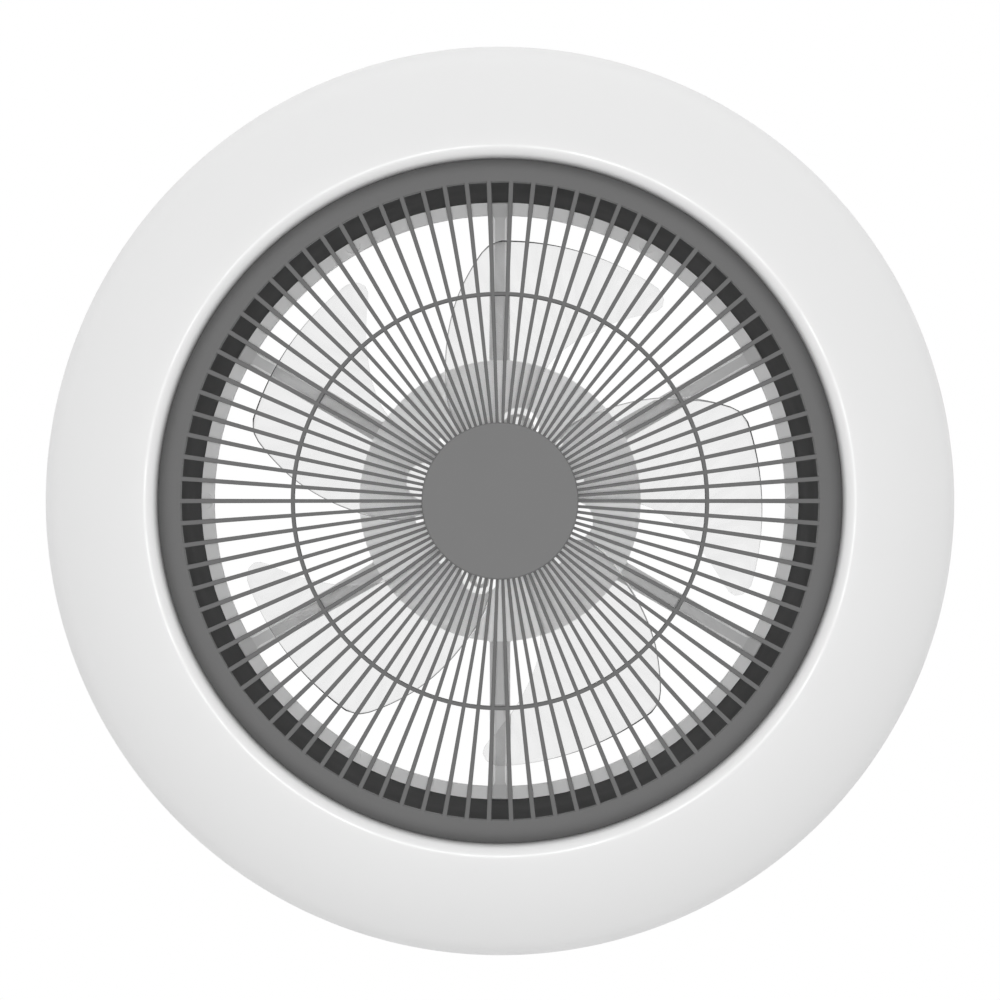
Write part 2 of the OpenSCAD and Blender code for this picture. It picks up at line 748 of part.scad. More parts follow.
module motor_base() {
    color("silver") difference() {
        union() {
            translate([0, 0, frame_z - base_t]) cylinder(d = base_d, h = base_t);
            translate([0, 0, tube_bottom_z]) cylinder(r = tube_r, h = frame_z - base_t - tube_bottom_z + 1);
        }
        translate([0, 0, tube_bottom_z - 1]) cylinder(r = bearing_r - 2, h = frame_z - tube_bottom_z + 2);
        translate([0, 0, upper_bearing_z]) cylinder(r = bearing_r + press_gap, h = bearing_w + 1);
        translate([0, 0, lower_bearing_z - 1]) cylinder(r = bearing_r + press_gap, h = bearing_w + 1);
        around(4, motor_screw_pcd / 2, first_motor_screw_a) translate([0, 0, frame_z - base_t - 1])
            cylinder(d = m4[0] + 2 * pilot_gap, h = base_t + 2);
        rotate(motor_lead_a) translate([motor_lead_r, 0, frame_z - base_t - 1])
            cylinder(d = lead_d + 2, h = base_t + 2);
    }
}

module motor_screws() {
    color("gainsboro") around(4, motor_screw_pcd / 2, first_motor_screw_a)
        translate([0, 0, frame_top_z]) screw(m4, 6.8);
}

module motor_board() {
    color("darkgreen") translate([0, 0, frame_z - base_t - board_t]) difference() {
        ring(tube_r + fit_gap, motor_screw_pcd / 2 - 4, board_t);
        rotate(motor_lead_a) translate([motor_lead_r, 0, -1]) cylinder(d = lead_d + 0.6, h = board_t + 2);
    }
}

module stator_core() {
    pitch = 360 / teeth;
    slot_in_r = tube_r + yoke_w;
    slot_out_r = stator_r - 2.2;
    function slot_a(r) = pitch / 2 - asin(tooth_w / 2 / r);
    color("dimgray") translate([0, 0, core_z]) linear_extrude(stack_h) difference() {
        circle(r = stator_r);
        circle(r = tube_r + press_gap);
        for (i = [0:teeth - 1]) rotate((i + 0.5) * pitch) {
            translate([slot_out_r - 2, -slot_opening / 2]) square([6, slot_opening]);
            polygon(concat(arc([0, 0], slot_in_r, -slot_a(slot_in_r), slot_a(slot_in_r), 2),
                           arc([0, 0], slot_out_r, slot_a(slot_out_r), -slot_a(slot_out_r), 3)));
        }
    }
}

module windings() {
    inner_w = tooth_w + 0.3;
    outer_w = inner_w + 2 * coil_t;
    inner_h = stack_h + 0.3;
    outer_h = inner_h + 2 * coil_t;
    r0 = tube_r + yoke_w + 0.9;
    length = stator_r - 2.2 - r0 - 0.7;
    color("peru") translate([0, 0, core_z + stack_h / 2]) around(teeth, r0)
        rotate([90, 0, 90]) linear_extrude(length) difference() {
            union() {
                square([outer_w, outer_h - 2 * coil_t], center = true);
                square([outer_w - 2 * coil_t, outer_h], center = true);
                for (x = [-1, 1], y = [-1, 1])
                    translate([x * (outer_w / 2 - coil_t), y * (outer_h / 2 - coil_t)]) circle(r = coil_t);
            }
            square([inner_w, inner_h], center = true);
        }
}

module bearing_outer(z) {
    color("lightgray") translate([0, 0, z]) difference() {
        ring(bearing_r - race_wall, bearing_r, bearing_w);
        ball_track(ball_gap);
    }
}

module bearing_inner(z) {
    color("lightgray") translate([0, 0, z]) difference() {
        ring(shaft_r + press_gap, shaft_r + race_wall, bearing_w);
        ball_track(ball_gap);
    }
}

module ball_track(gap) {
    translate([0, 0, bearing_w / 2]) rotate_extrude() translate([race_r, 0]) circle(r = ball_r + gap);
}

module bearing_balls(z) {
    color("silver") translate([0, 0, z + bearing_w / 2]) around(balls, race_r) sphere(r = ball_r);
}

module bearing_cage(z) {
    color("goldenrod") translate([0, 0, z + (bearing_w - cage_h) / 2]) difference() {
        ring(race_r - 0.5, race_r + 0.5, cage_h);
        translate([0, 0, cage_h / 2]) around(balls, race_r - 2) rotate([0, 90, 0])
            cylinder(r = ball_r + ball_gap, h = 4);
    }
}

module shaft() {
    top_z = frame_z + clip_t + 2;
    bottom_z = blade_plate_z - nut_h - 1;
    color("silver") difference() {
        translate([0, 0, bottom_z]) cylinder(r = shaft_r, h = top_z - bottom_z);
        translate([0, 0, frame_z]) ring(shaft_r - 0.6, shaft_r + 1, clip_t);
    }
}

module shaft_clip() {
    color("dimgray") translate([0, 0, frame_z]) difference() {
        ring(shaft_r - 0.6 + press_gap, shaft_r + 1.7, clip_t - press_gap);
        translate([0, -1.2, -1]) cube([shaft_r + 3, 2.4, clip_t + 2]);
    }
}

module rotor_bell() {
    boss_top_z = lower_bearing_z;
    color("gray") difference() {
        translate([0, 0, bell_plate_z]) cylinder(r = bell_r, h = bell_top_z - bell_plate_z);
        translate([0, 0, bell_plate_z + bell_plate_t]) difference() {
            cylinder(r = bell_in_r, h = bell_top_z - bell_plate_z);
            cylinder(r = bell_boss_r, h = boss_top_z - bell_plate_z - bell_plate_t);
        }
        translate([0, 0, bell_plate_z - 1]) cylinder(r = shaft_r + press_gap, h = bell_top_z - bell_plate_z);
        around(3, blade_screw_pcd / 2) translate([0, 0, bell_plate_z - 1])
            cylinder(d = m4[0] + 2 * pilot_gap, h = bell_plate_t + 2);
        // cooling holes
        around(6, 18, 30) translate([0, 0, bell_plate_z - 1]) cylinder(d = 8, h = bell_plate_t + 2);
    }
}

module rotor_magnets() {
    span = 360 / magnets - 2;
    color("dimgray") translate([0, 0, core_z + stack_h / 2 - magnet_h / 2])
        for (i = [0:magnets - 1]) rotate(i * 360 / magnets) rotate_extrude(angle = span)
            translate([bell_in_r - press_gap - magnet_t, 0]) square([magnet_t, magnet_h]);
}

// ---- Blade wheel ----

// A point on one blade: row along the span, share of the chord, and side +1 above or -1 below
function blade_point(row, share, side) =
    let (r = blade_root_r + (tip_r - blade_root_r) * row[0],
         a = row[1] + (row[2] - row[1]) * share,
         height = leading_h - blade_drop * share + blade_bow * 4 * share * (1 - share),
         half = (leading_t + (trailing_t - leading_t) * share) / 2
                * (share == 0 || share == 1 ? 0.55 : 1))
    [r * cos(a), r * sin(a), height + side * half];

module blade() {
    rows = len(blade_outline);
    cols = chord_steps + 1;
    share = [for (j = [0:chord_steps]) j / chord_steps];
    points = concat(
        [for (row = blade_outline, s = share) blade_point(row, s, 1)],
        [for (row = blade_outline, s = share) blade_point(row, s, -1)]);
    under = rows * cols;
    // two triangles for each quad, turned so that every face points outwards
    function quad(a, b, c, d) = [[a, b, c], [a, c, d]];
    top = [for (i = [0:rows - 2], j = [0:cols - 2])
        each quad(i * cols + j, i * cols + j + 1, (i + 1) * cols + j + 1, (i + 1) * cols + j)];
    bottom = [for (f = top) [f[2] + under, f[1] + under, f[0] + under]];
    // the outline's points in order, round the blade
    edge = concat(
        [for (j = [0:cols - 1]) j],
        [for (i = [1:rows - 1]) i * cols + cols - 1],
        [for (j = [cols - 2:-1:0]) (rows - 1) * cols + j],
        [for (i = [rows - 2:-1:1]) i * cols]);
    n = len(edge);
    sides = [for (k = [0:n - 1]) let (p = edge[k], q = edge[(k + 1) % n])
        each quad(q, p, p + under, q + under)];
    polyhedron(points, concat(top, bottom, sides));
}

module blade_wheel() {
    color("azure", 0.4) difference() {
        union() {
            translate([0, 0, grille_z + hub_bottom_h])
                ring(hub_r - hub_wall, hub_r, hub_top_h - hub_bottom_h);
            translate([0, 0, blade_plate_z]) cylinder(r = hub_r - 1, h = blade_plate_t);
            translate([0, 0, grille_z]) for (i = [0:blades - 1])
                rotate(first_blade_a + i * 360 / blades) blade();
        }
        translate([0, 0, blade_plate_z - 1]) cylinder(r = wheel_bore_r, h = blade_plate_t + 2);
        around(3, blade_screw_pcd / 2) translate([0, 0, blade_plate_z - 1])
            cylinder(d = m4[0] + 2 * screw_gap, h = blade_plate_t + 2);
    }
}

module blade_screws() {
    color("gainsboro") around(3, blade_screw_pcd / 2)
        translate([0, 0, blade_plate_z]) rotate([180, 0, 0]) screw(m4, blade_plate_t + bell_plate_t);
}

module blade_nut() {
    color("dimgray") translate([0, 0, blade_plate_z - nut_h]) difference() {
        union() {
            cylinder(r = nut_r, h = 3);
            cylinder(r = nut_r - 2.5, h = nut_h, $fn = 6);
            translate([0, 0, nut_h - 2]) cylinder(r = nut_r, h = 2);
        }
        translate([0, 0, -1]) cylinder(r = shaft_r + press_gap, h = nut_h + 2);
    }
}

// ---- Electrics ----

module controller_case() {
    w = controller_w;
    wall = controller_wall;
    foot_y = w / 2 + 4;
    color("white") rotate(motor_lead_a) translate([0, 0, controller_z]) difference() {
        union() {
            translate([-w / 2, -w / 2, 0]) cube([w, w, controller_h - lid_t]);
            for (side = [-1, 1]) translate([0, side * foot_y, -case_foot_h]) {
                cylinder(d = 9, h = case_foot_h + 4);
                translate([-4.5, -side * 4 - 2.5, 0]) cube([9, 5, case_foot_h + 4]);
            }
        }
        translate([-w / 2 + wall, -w / 2 + wall, wall]) cube([w - 2 * wall, w - 2 * wall, controller_h]);
        for (side = [-1, 1]) translate([0, side * foot_y, -case_foot_h - 1])
            cylinder(d = m3[0] + 2 * screw_gap, h = case_foot_h + 6);
        // entries for the motor's lead below and the lamp's lead at the side
        translate([motor_lead_r - 7, 0, -1]) cylinder(d = lead_entry_d, h = wall + 2);
        translate([-w / 2 - 1, lamp_lead_y, lamp_lead_h]) rotate([0, 90, 0])
            cylinder(d = lead_entry_d, h = wall + 2);
    }
}

module controller_lid() {
    w = controller_w;
    in_w = w - 2 * controller_wall - 2 * fit_gap;
    color("white") translate([0, 0, controller_z + controller_h - lid_t]) difference() {
        rotate(motor_lead_a) difference() {
            union() {
                translate([-w / 2, -w / 2, 0]) cube([w, w, lid_t]);
                translate([-in_w / 2, -in_w / 2, -2.5]) cube([in_w, in_w, 3]);
            }
            translate([-in_w / 2 + 1.4, -in_w / 2 + 1.4, -3]) cube([in_w - 2.8, in_w - 2.8, 3]);
        }
        rotate(terminal_a) translate([supply_lead_x, supply_lead_y, -1])
            cylinder(d = lead_entry_d, h = lid_t + 2);
    }
}

module controller_board() {
    w = controller_w - 2 * controller_wall - 2 * fit_gap;
    post_h = 3;
    color("darkgreen") rotate(motor_lead_a) translate([0, 0, controller_z + controller_wall + post_h])
        difference() {
            union() {
                translate([-w / 2, -w / 2, 0]) cube([w, w, board_t]);
                for (x = [-1, 1], y = [-1, 1]) translate([x * (w / 2 - 3), y * (w / 2 - 3), -post_h])
                    cylinder(d = 4, h = post_h + 0.5);
                // capacitor, coil and power chip
                translate([-10, -9, board_t - 0.5]) cylinder(d = 10, h = 12.5);
                translate([8, -12, board_t - 0.5]) cylinder(d = 8, h = 7);
                translate([-4, 4, board_t - 0.5]) cube([12, 10, 3.5]);
            }
            translate([motor_lead_r - 7, 0, -1]) cylinder(d = lead_entry_d, h = board_t + 2);
        }
}

module controller_screws() {
    color("gainsboro") rotate(motor_lead_a) for (side = [-1, 1])
        translate([0, side * (controller_w / 2 + 4), controller_z + 4]) screw(m3, case_foot_h + 4 + 3);
}

module terminal_block() {
    s = terminal_size;
    pitch = s[0] / poles;
    foot_l = terminal_r - terminal_screw_r + 3;
    color("whitesmoke") rotate(terminal_a) translate([terminal_r, -s[1] / 2, bracket_z - s[2]]) difference() {
        union() {
            cube(s);
            translate([-foot_l, s[1] / 2 - 4, s[2] - 3]) cube([foot_l + 1, 8, 3]);
            // barriers between the poles
            for (i = [1:poles - 1]) translate([i * pitch - 0.6, 0, -1.2]) cube([1.2, s[1], 2]);
        }
        for (i = [0:poles - 1]) translate([(i + 0.5) * pitch, 0, 0]) {
            // wire entries in both faces and the wells of the clamping screws
            translate([0, -1, s[2] / 2]) rotate([-90, 0, 0]) cylinder(d = lead_entry_d, h = lead_in + 1);
            translate([0, s[1] - lead_in, s[2] / 2]) rotate([-90, 0, 0])
                cylinder(d = lead_entry_d, h = lead_in + 1);
            for (y = [3.5, s[1] - 3.5]) translate([0, y, -1]) cylinder(d = 3.6, h = 4);
        }
        translate([terminal_screw_r - terminal_r, s[1] / 2, s[2] - 4])
            cylinder(d = m3[0] + 2 * screw_gap, h = 5);
    }
}

module terminal_screw() {
    color("gainsboro") rotate(terminal_a)
        translate([terminal_screw_r, 0, bracket_z - 3]) rotate([180, 0, 0]) screw(m3, 5);
}

function unit(v) = v / norm(v);

// A round lead through a list of points, with a quarter bend of radius r at each inner point
module lead(p, r = lead_bend_r) {
    last = len(p) - 1;
    for (i = [0:last - 1]) {
        leg = p[i + 1] - p[i];
        start = i == 0 ? 0 : r;
        end = i + 1 == last ? 0 : r;
        translate(p[i] + unit(leg) * start) rotate([0, acos(leg[2] / norm(leg)), atan2(leg[1], leg[0])])
            cylinder(d = lead_d, h = norm(leg) - start - end);
    }
    for (i = [1:1:last - 1]) {
        u = unit(p[i] - p[i - 1]);
        v = unit(p[i + 1] - p[i]);
        w = cross(u, v);
        c = p[i] - u * r + v * r;
        multmatrix([[-v[0], u[0], w[0], c[0]], [-v[1], u[1], w[1], c[1]], [-v[2], u[2], w[2], c[2]]])
            rotate_extrude(angle = 90) translate([r, 0]) circle(d = lead_d);
    }
}

module motor_lead() {
    end_r = motor_lead_r - 7;
    color("black") rotate(motor_lead_a) lead([
        [motor_lead_r, 0, frame_z - base_t - board_t - 0.6],
        [motor_lead_r, 0, frame_top_z + 3.4],
        [end_r, 0, frame_top_z + 3.4],
        [end_r, 0, controller_z + controller_wall + 3 + board_t]], 3);
}

module supply_lead() {
    entry_x = terminal_r + terminal_size[0] / poles * 1.5;
    z = bracket_z - terminal_size[2] / 2;
    color("black") rotate(terminal_a) lead([
        [entry_x, -terminal_size[1] / 2 + lead_in - 0.5, z],
        [entry_x, supply_lead_y, z],
        [supply_lead_x, supply_lead_y, z],
        [supply_lead_x, supply_lead_y, controller_z + controller_h - lid_t - 5]]);
}

module lamp_lead() {
    lead_z = frame_z + arm_h - tray_groove_h + lead_d / 2 + 0.15;
    case_z = controller_z + lamp_lead_h;
    drop_x = controller_w / 2 + 11;
    color("black") rotate(lead_arm_a) lead([
        [controller_w / 2 - controller_wall - 2, -lamp_lead_y, case_z],
        [drop_x, -lamp_lead_y, case_z],
        [drop_x, -lamp_lead_y, lead_z],
        [disc_r - 20, -lamp_lead_y, lead_z],
        [disc_r - 20, 0, lead_z],
        [lead_hole_r, 0, lead_z],
        [lead_hole_r, 0, grille_z + tray_h + tray_t + driver_h - lead_in + 0.5]]);
}

module board_lead() {
    z = grille_z + tray_h + tray_t + lead_over_tray;
    end_y = driver_l / 2 - driver_foot - lead_in + 0.5;
    color("black") rotate(driver_a) lead([
        [driver_lead_x, -end_y, z],
        [driver_lead_x, -board_lead_y, z],
        [driver_lead_x, -board_lead_y, grille_z + tray_h + 0.1]]);
}

module pan_grommet() {
    color("dimgray") rotate(lead_arm_a) translate([lead_hole_r, 0, grille_z + pan_top]) difference() {
        union() {
            translate([0, 0, -pan_t - 0.01]) cylinder(d = lead_d + 5 - 2 * press_gap, h = pan_t + 1);
            cylinder(d = lead_d + 8, h = 1.4);
        }
        translate([0, 0, -pan_t - 1]) cylinder(d = lead_d + 2 * press_gap, h = pan_t + 4);
    }
}

ceiling_bracket();
canopy();
canopy_screws();
frame();
air_duct();
frame_screws();
lamp_pan();
light_tray();
tray_screws();
light_boards();
light_sources();
light_driver();
driver_screws();
diffuser();
grille();
hub_cap();
motor_base();
motor_screws();
motor_board();
stator_core();
windings();
bearing_outer(upper_bearing_z);  // upper_bearing_outer
bearing_inner(upper_bearing_z);  // upper_bearing_inner
bearing_balls(upper_bearing_z);  // upper_bearing_balls
bearing_cage(upper_bearing_z);  // upper_bearing_cage
bearing_outer(lower_bearing_z);  // lower_bearing_outer
bearing_inner(lower_bearing_z);  // lower_bearing_inner
bearing_balls(lower_bearing_z);  // lower_bearing_balls
bearing_cage(lower_bearing_z);  // lower_bearing_cage
shaft();
shaft_clip();
rotor_bell();
rotor_magnets();  // magnets
blade_wheel();
blade_screws();
blade_nut();
controller_case();
controller_lid();
controller_board();
controller_screws();
terminal_block();
terminal_screw();
supply_lead();
motor_lead();
lamp_lead();
board_lead();
pan_grommet();
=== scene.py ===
import math

import bmesh
import bpy
import numpy as np
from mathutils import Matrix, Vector


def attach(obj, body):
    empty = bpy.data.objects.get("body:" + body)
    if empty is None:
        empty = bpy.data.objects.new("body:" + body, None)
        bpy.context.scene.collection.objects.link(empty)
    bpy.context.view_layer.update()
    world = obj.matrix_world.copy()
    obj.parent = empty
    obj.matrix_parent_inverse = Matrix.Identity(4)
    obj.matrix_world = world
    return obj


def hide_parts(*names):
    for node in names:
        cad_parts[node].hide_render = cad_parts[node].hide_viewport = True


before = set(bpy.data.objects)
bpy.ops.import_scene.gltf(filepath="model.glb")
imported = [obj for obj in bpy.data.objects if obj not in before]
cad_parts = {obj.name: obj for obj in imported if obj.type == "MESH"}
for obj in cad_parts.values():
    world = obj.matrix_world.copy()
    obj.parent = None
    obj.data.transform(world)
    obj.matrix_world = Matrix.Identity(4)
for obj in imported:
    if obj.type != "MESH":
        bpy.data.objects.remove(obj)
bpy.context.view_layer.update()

# Heights in the part's frame, in metres: the ceiling is at 0, the guard's lower face at GUARD_Z
# and the frame's lower face at FRAME_Z. The pieces' own sizes, further down, are in millimetres.
MM = 0.001
GUARD_Z = -0.160
FRAME_Z = -0.070

# Camera straight below the fan, where the photograph was taken
CAMERA_AT = (0.0, 0.00054, -1.440)
CAMERA_LENS = 85.68
CAMERA_SENSOR = 36.0
FLOOR_Z = -2.40
FLOOR_R = 22.5
FLOOR_CORNERS = 120
FLOOR_GREY, FLOOR_ROUGHNESS = 0.86, 0.9

# Studio sky: a band over the horizon that fades, between two heights, to the light overhead.
# SIDE_SLOPE makes it stronger towards +Y and weaker towards -Y, END_RISE stronger at both.
HORIZON_LIGHT = 1.13
ZENITH_LIGHT = 0.55
BAND_LOW, BAND_HIGH = 0.25, 0.60
SIDE_SLOPE = 0.42
END_RISE = 0.35

# Lamps: one under the fan, one on each side of it, and one for the opal ring's sheen alone
LOW_LAMP_AT = (0.0, 0.0, -1.50)
LOW_LAMP_SIZE, LOW_LAMP_WATTS = 0.03, 8.2
SHEEN_SIZE, SHEEN_WATTS = 0.20, 4.7
SIDE_LAMP_SIZE, SIDE_LAMP_WATTS = 1.0, 2.0
SIDE_LAMP_TURN, SIDE_LAMP_REACH, SIDE_LAMP_Z = 40.0, 1.55, -1.65
SIDE_LAMP_AIM = (0, 0, -0.1)

# Painted shade over parts of pieces: how dark it gets, and the radii or heights, in metres,
# between which it sets in
LIP_SHADE, LIP_SHADE_ENDS = 0.62, (0.1840, 0.1865)
RIM_SHADE, RIM_STARTS = 0.885, (0.1636, 0.1641)
HOLLOW_SHADE = 0.70
DISC_ENDS, ARMS_END = (0.0808, 0.0813), (0.1720, 0.1725)
RIDGE_TOP = (FRAME_Z + 0.0001, FRAME_Z + 0.0006)
BLADE_EDGE_SHADE = 0.22
# colour of the dust that settles on faces that look up
DUST_COLOUR = (0.52, 0.50, 0.47, 1)


def over_guard(height_mm):
    """A height above the guard's lower face, in millimetres, as a Z in metres."""
    return GUARD_Z + height_mm * MM


# ---------------------------------------------------------------- node tools

def add(tree, kind, **settings):
    node = tree.nodes.new(kind)
    for name, value in settings.items():
        setattr(node, name, value)
    return node


def put(node, **values):
    """Sets input sockets by name; an underscore stands for a space."""
    for name, value in values.items():
        node.inputs[name.replace("_", " ")].default_value = value
    return node


def wire(tree, source, target, output=0, into=0):
    tree.links.new(source.outputs[output], target.inputs[into])


def maths(tree, operation, *values, **settings):
    """A maths node whose last inputs hold the values."""
    node = add(tree, "ShaderNodeMath", operation=operation, **settings)
    inputs = 3 if operation == "MULTIPLY_ADD" else 2
    for i, value in enumerate(values):
        node.inputs[inputs - len(values) + i].default_value = value
    return node


def product(tree, first, first_output, second, second_output):
    node = maths(tree, "MULTIPLY")
    wire(tree, first, node, first_output, 0)
    wire(tree, second, node, second_output, 1)
    return node


def ramp(tree, source, output, ends, values=(0.0, 1.0), **settings):
    """A node that goes from the first value to the second as its source goes between the ends."""
    node = put(add(tree, "ShaderNodeMapRange", **settings),
               From_Min=ends[0], From_Max=ends[1], To_Min=values[0], To_Max=values[1])
    wire(tree, source, node, output, "Value")
    return node


def scaled(tree, colour, factor, factor_output=0):
    """A node's Colour output times a factor."""
    node = add(tree, "ShaderNodeVectorMath", operation="SCALE")
    wire(tree, colour, node, "Colour", 0)
    wire(tree, factor, node, factor_output, "Scale")
    return node


def group(name, inputs, outputs):
    """A shader node group with named sockets; returns it with its inner ends."""
    tree = bpy.data.node_groups.new(name, "ShaderNodeTree")
    for label, kind, value in inputs:
        socket = tree.interface.new_socket(label, in_out="INPUT", socket_type=kind)
        socket.default_value = value
    for label, kind in outputs:
        tree.interface.new_socket(label, in_out="OUTPUT", socket_type=kind)
    return tree, tree.nodes.new("NodeGroupInput"), tree.nodes.new("NodeGroupOutput")


FLOAT, COLOUR, VECTOR = "NodeSocketFloat", "NodeSocketColor", "NodeSocketVector"


def vary_colour(tree, start, end, noise, strength):
    """Scales the group's colour by 1, plus or minus its strength; returns the noise about 0."""
    centred = maths(tree, "SUBTRACT", 0.5)
    wire(tree, noise, centred, "Fac", 0)
    swing = product(tree, centred, 0, start, strength)
    factor = maths(tree, "MULTIPLY_ADD", 2.0, 1.0)
    wire(tree, swing, factor, 0, 0)
    wire(tree, scaled(tree, start, factor), end, 0, "Colour")
    return centred


def emboss(tree, start, end, noise, depth):
    """Raises the noise from the surface, by the group's named depth."""
    bump = put(add(tree, "ShaderNodeBump"), Strength=1.0)
    wire(tree, start, bump, depth, "Distance")
    wire(tree, noise, bump, "Fac", "Height")
    wire(tree, bump, end, "Normal", "Normal")


def make_moulded_skin():
    """Moulded plastic: faint clouding of the colour, uneven gloss and a fine grain."""
    tree, start, end = group(
        "moulded_skin",
        [("Colour", COLOUR, (0.5, 0.5, 0.5, 1)), ("Clouding", FLOAT, 0.04),
         ("Cloud scale", FLOAT, 14.0), ("Roughness", FLOAT, 0.5), ("Gloss spread", FLOAT, 0.08),
         ("Grain scale", FLOAT, 1800.0), ("Grain depth", FLOAT, 0.00002)],
        [("Colour", COLOUR), ("Roughness", FLOAT), ("Normal", VECTOR)])
    place = add(tree, "ShaderNodeTexCoord")
    cloud = put(add(tree, "ShaderNodeTexNoise"), Detail=4.0, Roughness=0.55)
    wire(tree, place, cloud, "Object", "Vector")
    wire(tree, start, cloud, "Cloud scale", "Scale")
    vary_colour(tree, start, end, cloud, "Clouding")
    # gloss varies with a broader pattern
    smear = put(add(tree, "ShaderNodeTexNoise"), Scale=45.0, Detail=3.0)
    wire(tree, place, smear, "Object", "Vector")
    gloss = ramp(tree, smear, "Fac", (0.3, 0.7))
    for operation, limit in (("SUBTRACT", "To Min"), ("ADD", "To Max")):
        side = maths(tree, operation)
        wire(tree, start, side, "Roughness", 0)
        wire(tree, start, side, "Gloss spread", 1)
        wire(tree, side, gloss, 0, limit)
    wire(tree, gloss, end, "Result", "Roughness")
    grain = put(add(tree, "ShaderNodeTexNoise"), Detail=2.0)
    wire(tree, place, grain, "Object", "Vector")
    wire(tree, start, grain, "Grain scale", "Scale")
    emboss(tree, start, end, grain, "Grain depth")
    return tree


def make_brushed_skin():
    """Rolled or turned metal: fine streaks along one axis and uneven gloss."""
    tree, start, end = group(
        "brushed_skin",
        [("Colour", COLOUR, (0.6, 0.6, 0.6, 1)), ("Streak strength", FLOAT, 0.12),
         ("Streaks", VECTOR, (40.0, 900.0, 900.0)), ("Roughness", FLOAT, 0.35),
         ("Gloss spread", FLOAT, 0.12), ("Streak depth", FLOAT, 0.00001)],
        [("Colour", COLOUR), ("Roughness", FLOAT), ("Normal", VECTOR)])
    place = add(tree, "ShaderNodeTexCoord")
    stretch = add(tree, "ShaderNodeVectorMath", operation="MULTIPLY")
    wire(tree, place, stretch, "Object", 0)
    wire(tree, start, stretch, "Streaks", 1)
    streak = put(add(tree, "ShaderNodeTexNoise"), Scale=1.0, Detail=4.0, Roughness=0.6)
    wire(tree, stretch, streak, 0, "Vector")
    centred = vary_colour(tree, start, end, streak, "Streak strength")
    rough = maths(tree, "MULTIPLY_ADD")
    wire(tree, centred, rough, 0, 0)
    wire(tree, start, rough, "Gloss spread", 1)
    wire(tree, start, rough, "Roughness", 2)
    wire(tree, rough, end, 0, "Roughness")
    emboss(tree, start, end, streak, "Streak depth")
    return tree


def make_settled_dust():
    """A thin film of dust on faces that look up."""
    tree, start, end = group(
        "settled_dust",
        [("Colour", COLOUR, (0.5, 0.5, 0.5, 1)), ("Amount", FLOAT, 0.25)],
        [("Colour", COLOUR)])
    facing = add(tree, "ShaderNodeNewGeometry")
    parts = add(tree, "ShaderNodeSeparateXYZ")
    wire(tree, facing, parts, "Normal", 0)
    upward = ramp(tree, parts, "Z", (0.35, 0.95))
    place = add(tree, "ShaderNodeTexCoord")
    patches = put(add(tree, "ShaderNodeTexNoise"), Scale=60.0, Detail=6.0, Roughness=0.7)
    wire(tree, place, patches, "Object", "Vector")
    spots = ramp(tree, patches, "Fac", (0.35, 0.7))
    film = product(tree, product(tree, upward, "Result", spots, "Result"), 0, start, "Amount")
    # of a colour mix, input 6 is the first colour, input 7 the second and output 2 the result
    mix = add(tree, "ShaderNodeMix", data_type="RGBA")
    wire(tree, film, mix, 0, 0)
    wire(tree, start, mix, "Colour", 6)
    mix.inputs[7].default_value = DUST_COLOUR
    wire(tree, mix, end, 2, "Colour")
    return tree


def make_place_round_axis():
    """How far a point lies from the fan's axis, and its height."""
    tree, _, end = group("place_round_axis", [], [("Radius", FLOAT), ("Height", FLOAT)])
    place = add(tree, "ShaderNodeTexCoord")
    parts = add(tree, "ShaderNodeSeparateXYZ")
    wire(tree, place, parts, "Object", 0)
    flat = add(tree, "ShaderNodeCombineXYZ")
    wire(tree, parts, flat, "X", "X")
    wire(tree, parts, flat, "Y", "Y")
    radius = add(tree, "ShaderNodeVectorMath", operation="LENGTH")
    wire(tree, flat, radius)
    wire(tree, radius, end, "Value", "Radius")
    wire(tree, parts, end, "Z", "Height")
    return tree


MOULDED, BRUSHED, DUST = make_moulded_skin(), make_brushed_skin(), make_settled_dust()
ROUND_AXIS = make_place_round_axis()


# ---------------------------------------------------------------- finishes

def finish_material(name, skin, values, dust=0.0, **shader):
    """A material whose colour, gloss and normal come from a skin group, with dust over it."""
    material = bpy.data.materials.new(name)
    material.use_nodes = True
    tree = material.node_tree
    body = tree.nodes["Principled BSDF"]
    look = add(tree, "ShaderNodeGroup", node_tree=skin)
    put(look, **values)
    if dust:
        film = put(add(tree, "ShaderNodeGroup", node_tree=DUST), Amount=dust)
        wire(tree, look, film, "Colour", "Colour")
        wire(tree, film, body, "Colour", "Base Color")
    else:
        wire(tree, look, body, "Colour", "Base Color")
    wire(tree, look, body, "Roughness", "Roughness")
    wire(tree, look, body, "Normal", "Normal")
    put(body, **shader)
    return material


def grey(value, warm=0.0):
    return (value * (1 + warm), value, value * (1 - warm), 1.0)


def plastic(name, colour, rough=0.5, clouding=0.03, grain=0.00002, dust=0.0, **shader):
    return finish_material(name, MOULDED, {
        "Colour": colour, "Clouding": clouding, "Roughness": rough, "Gloss_spread": 0.06,
        "Grain_depth": grain}, dust, **shader)


def metal(name, colour, rough=0.35, streak=0.1, dust=0.0, **shader):
    return finish_material(name, BRUSHED, {
        "Colour": colour, "Streak_strength": streak, "Roughness": rough}, dust,
        Metallic=1.0, **shader)


def opened(material):
    """A finished material's tree, its shader and the node that gives its colour."""
    tree = material.node_tree
    body = tree.nodes["Principled BSDF"]
    return tree, body, body.inputs["Base Color"].links[0].from_node


def make_opal():
    """Opal plastic, with painted shade where its rolled lip turns in behind the bezel."""
    material = plastic("opal_diffuser", grey(0.712), 0.34, 0.006, 0.000004, 0.10, IOR=1.49)
    tree, body, look = opened(material)
    place = add(tree, "ShaderNodeGroup", node_tree=ROUND_AXIS)
    # painted shade on the lip, fading out between the radii of LIP_SHADE_ENDS
    shade = ramp(tree, place, "Radius", LIP_SHADE_ENDS, (LIP_SHADE, 1.0),
                 interpolation_type="SMOOTHSTEP")
    wire(tree, scaled(tree, look, shade, "Result"), body, 0, "Base Color")
    return material


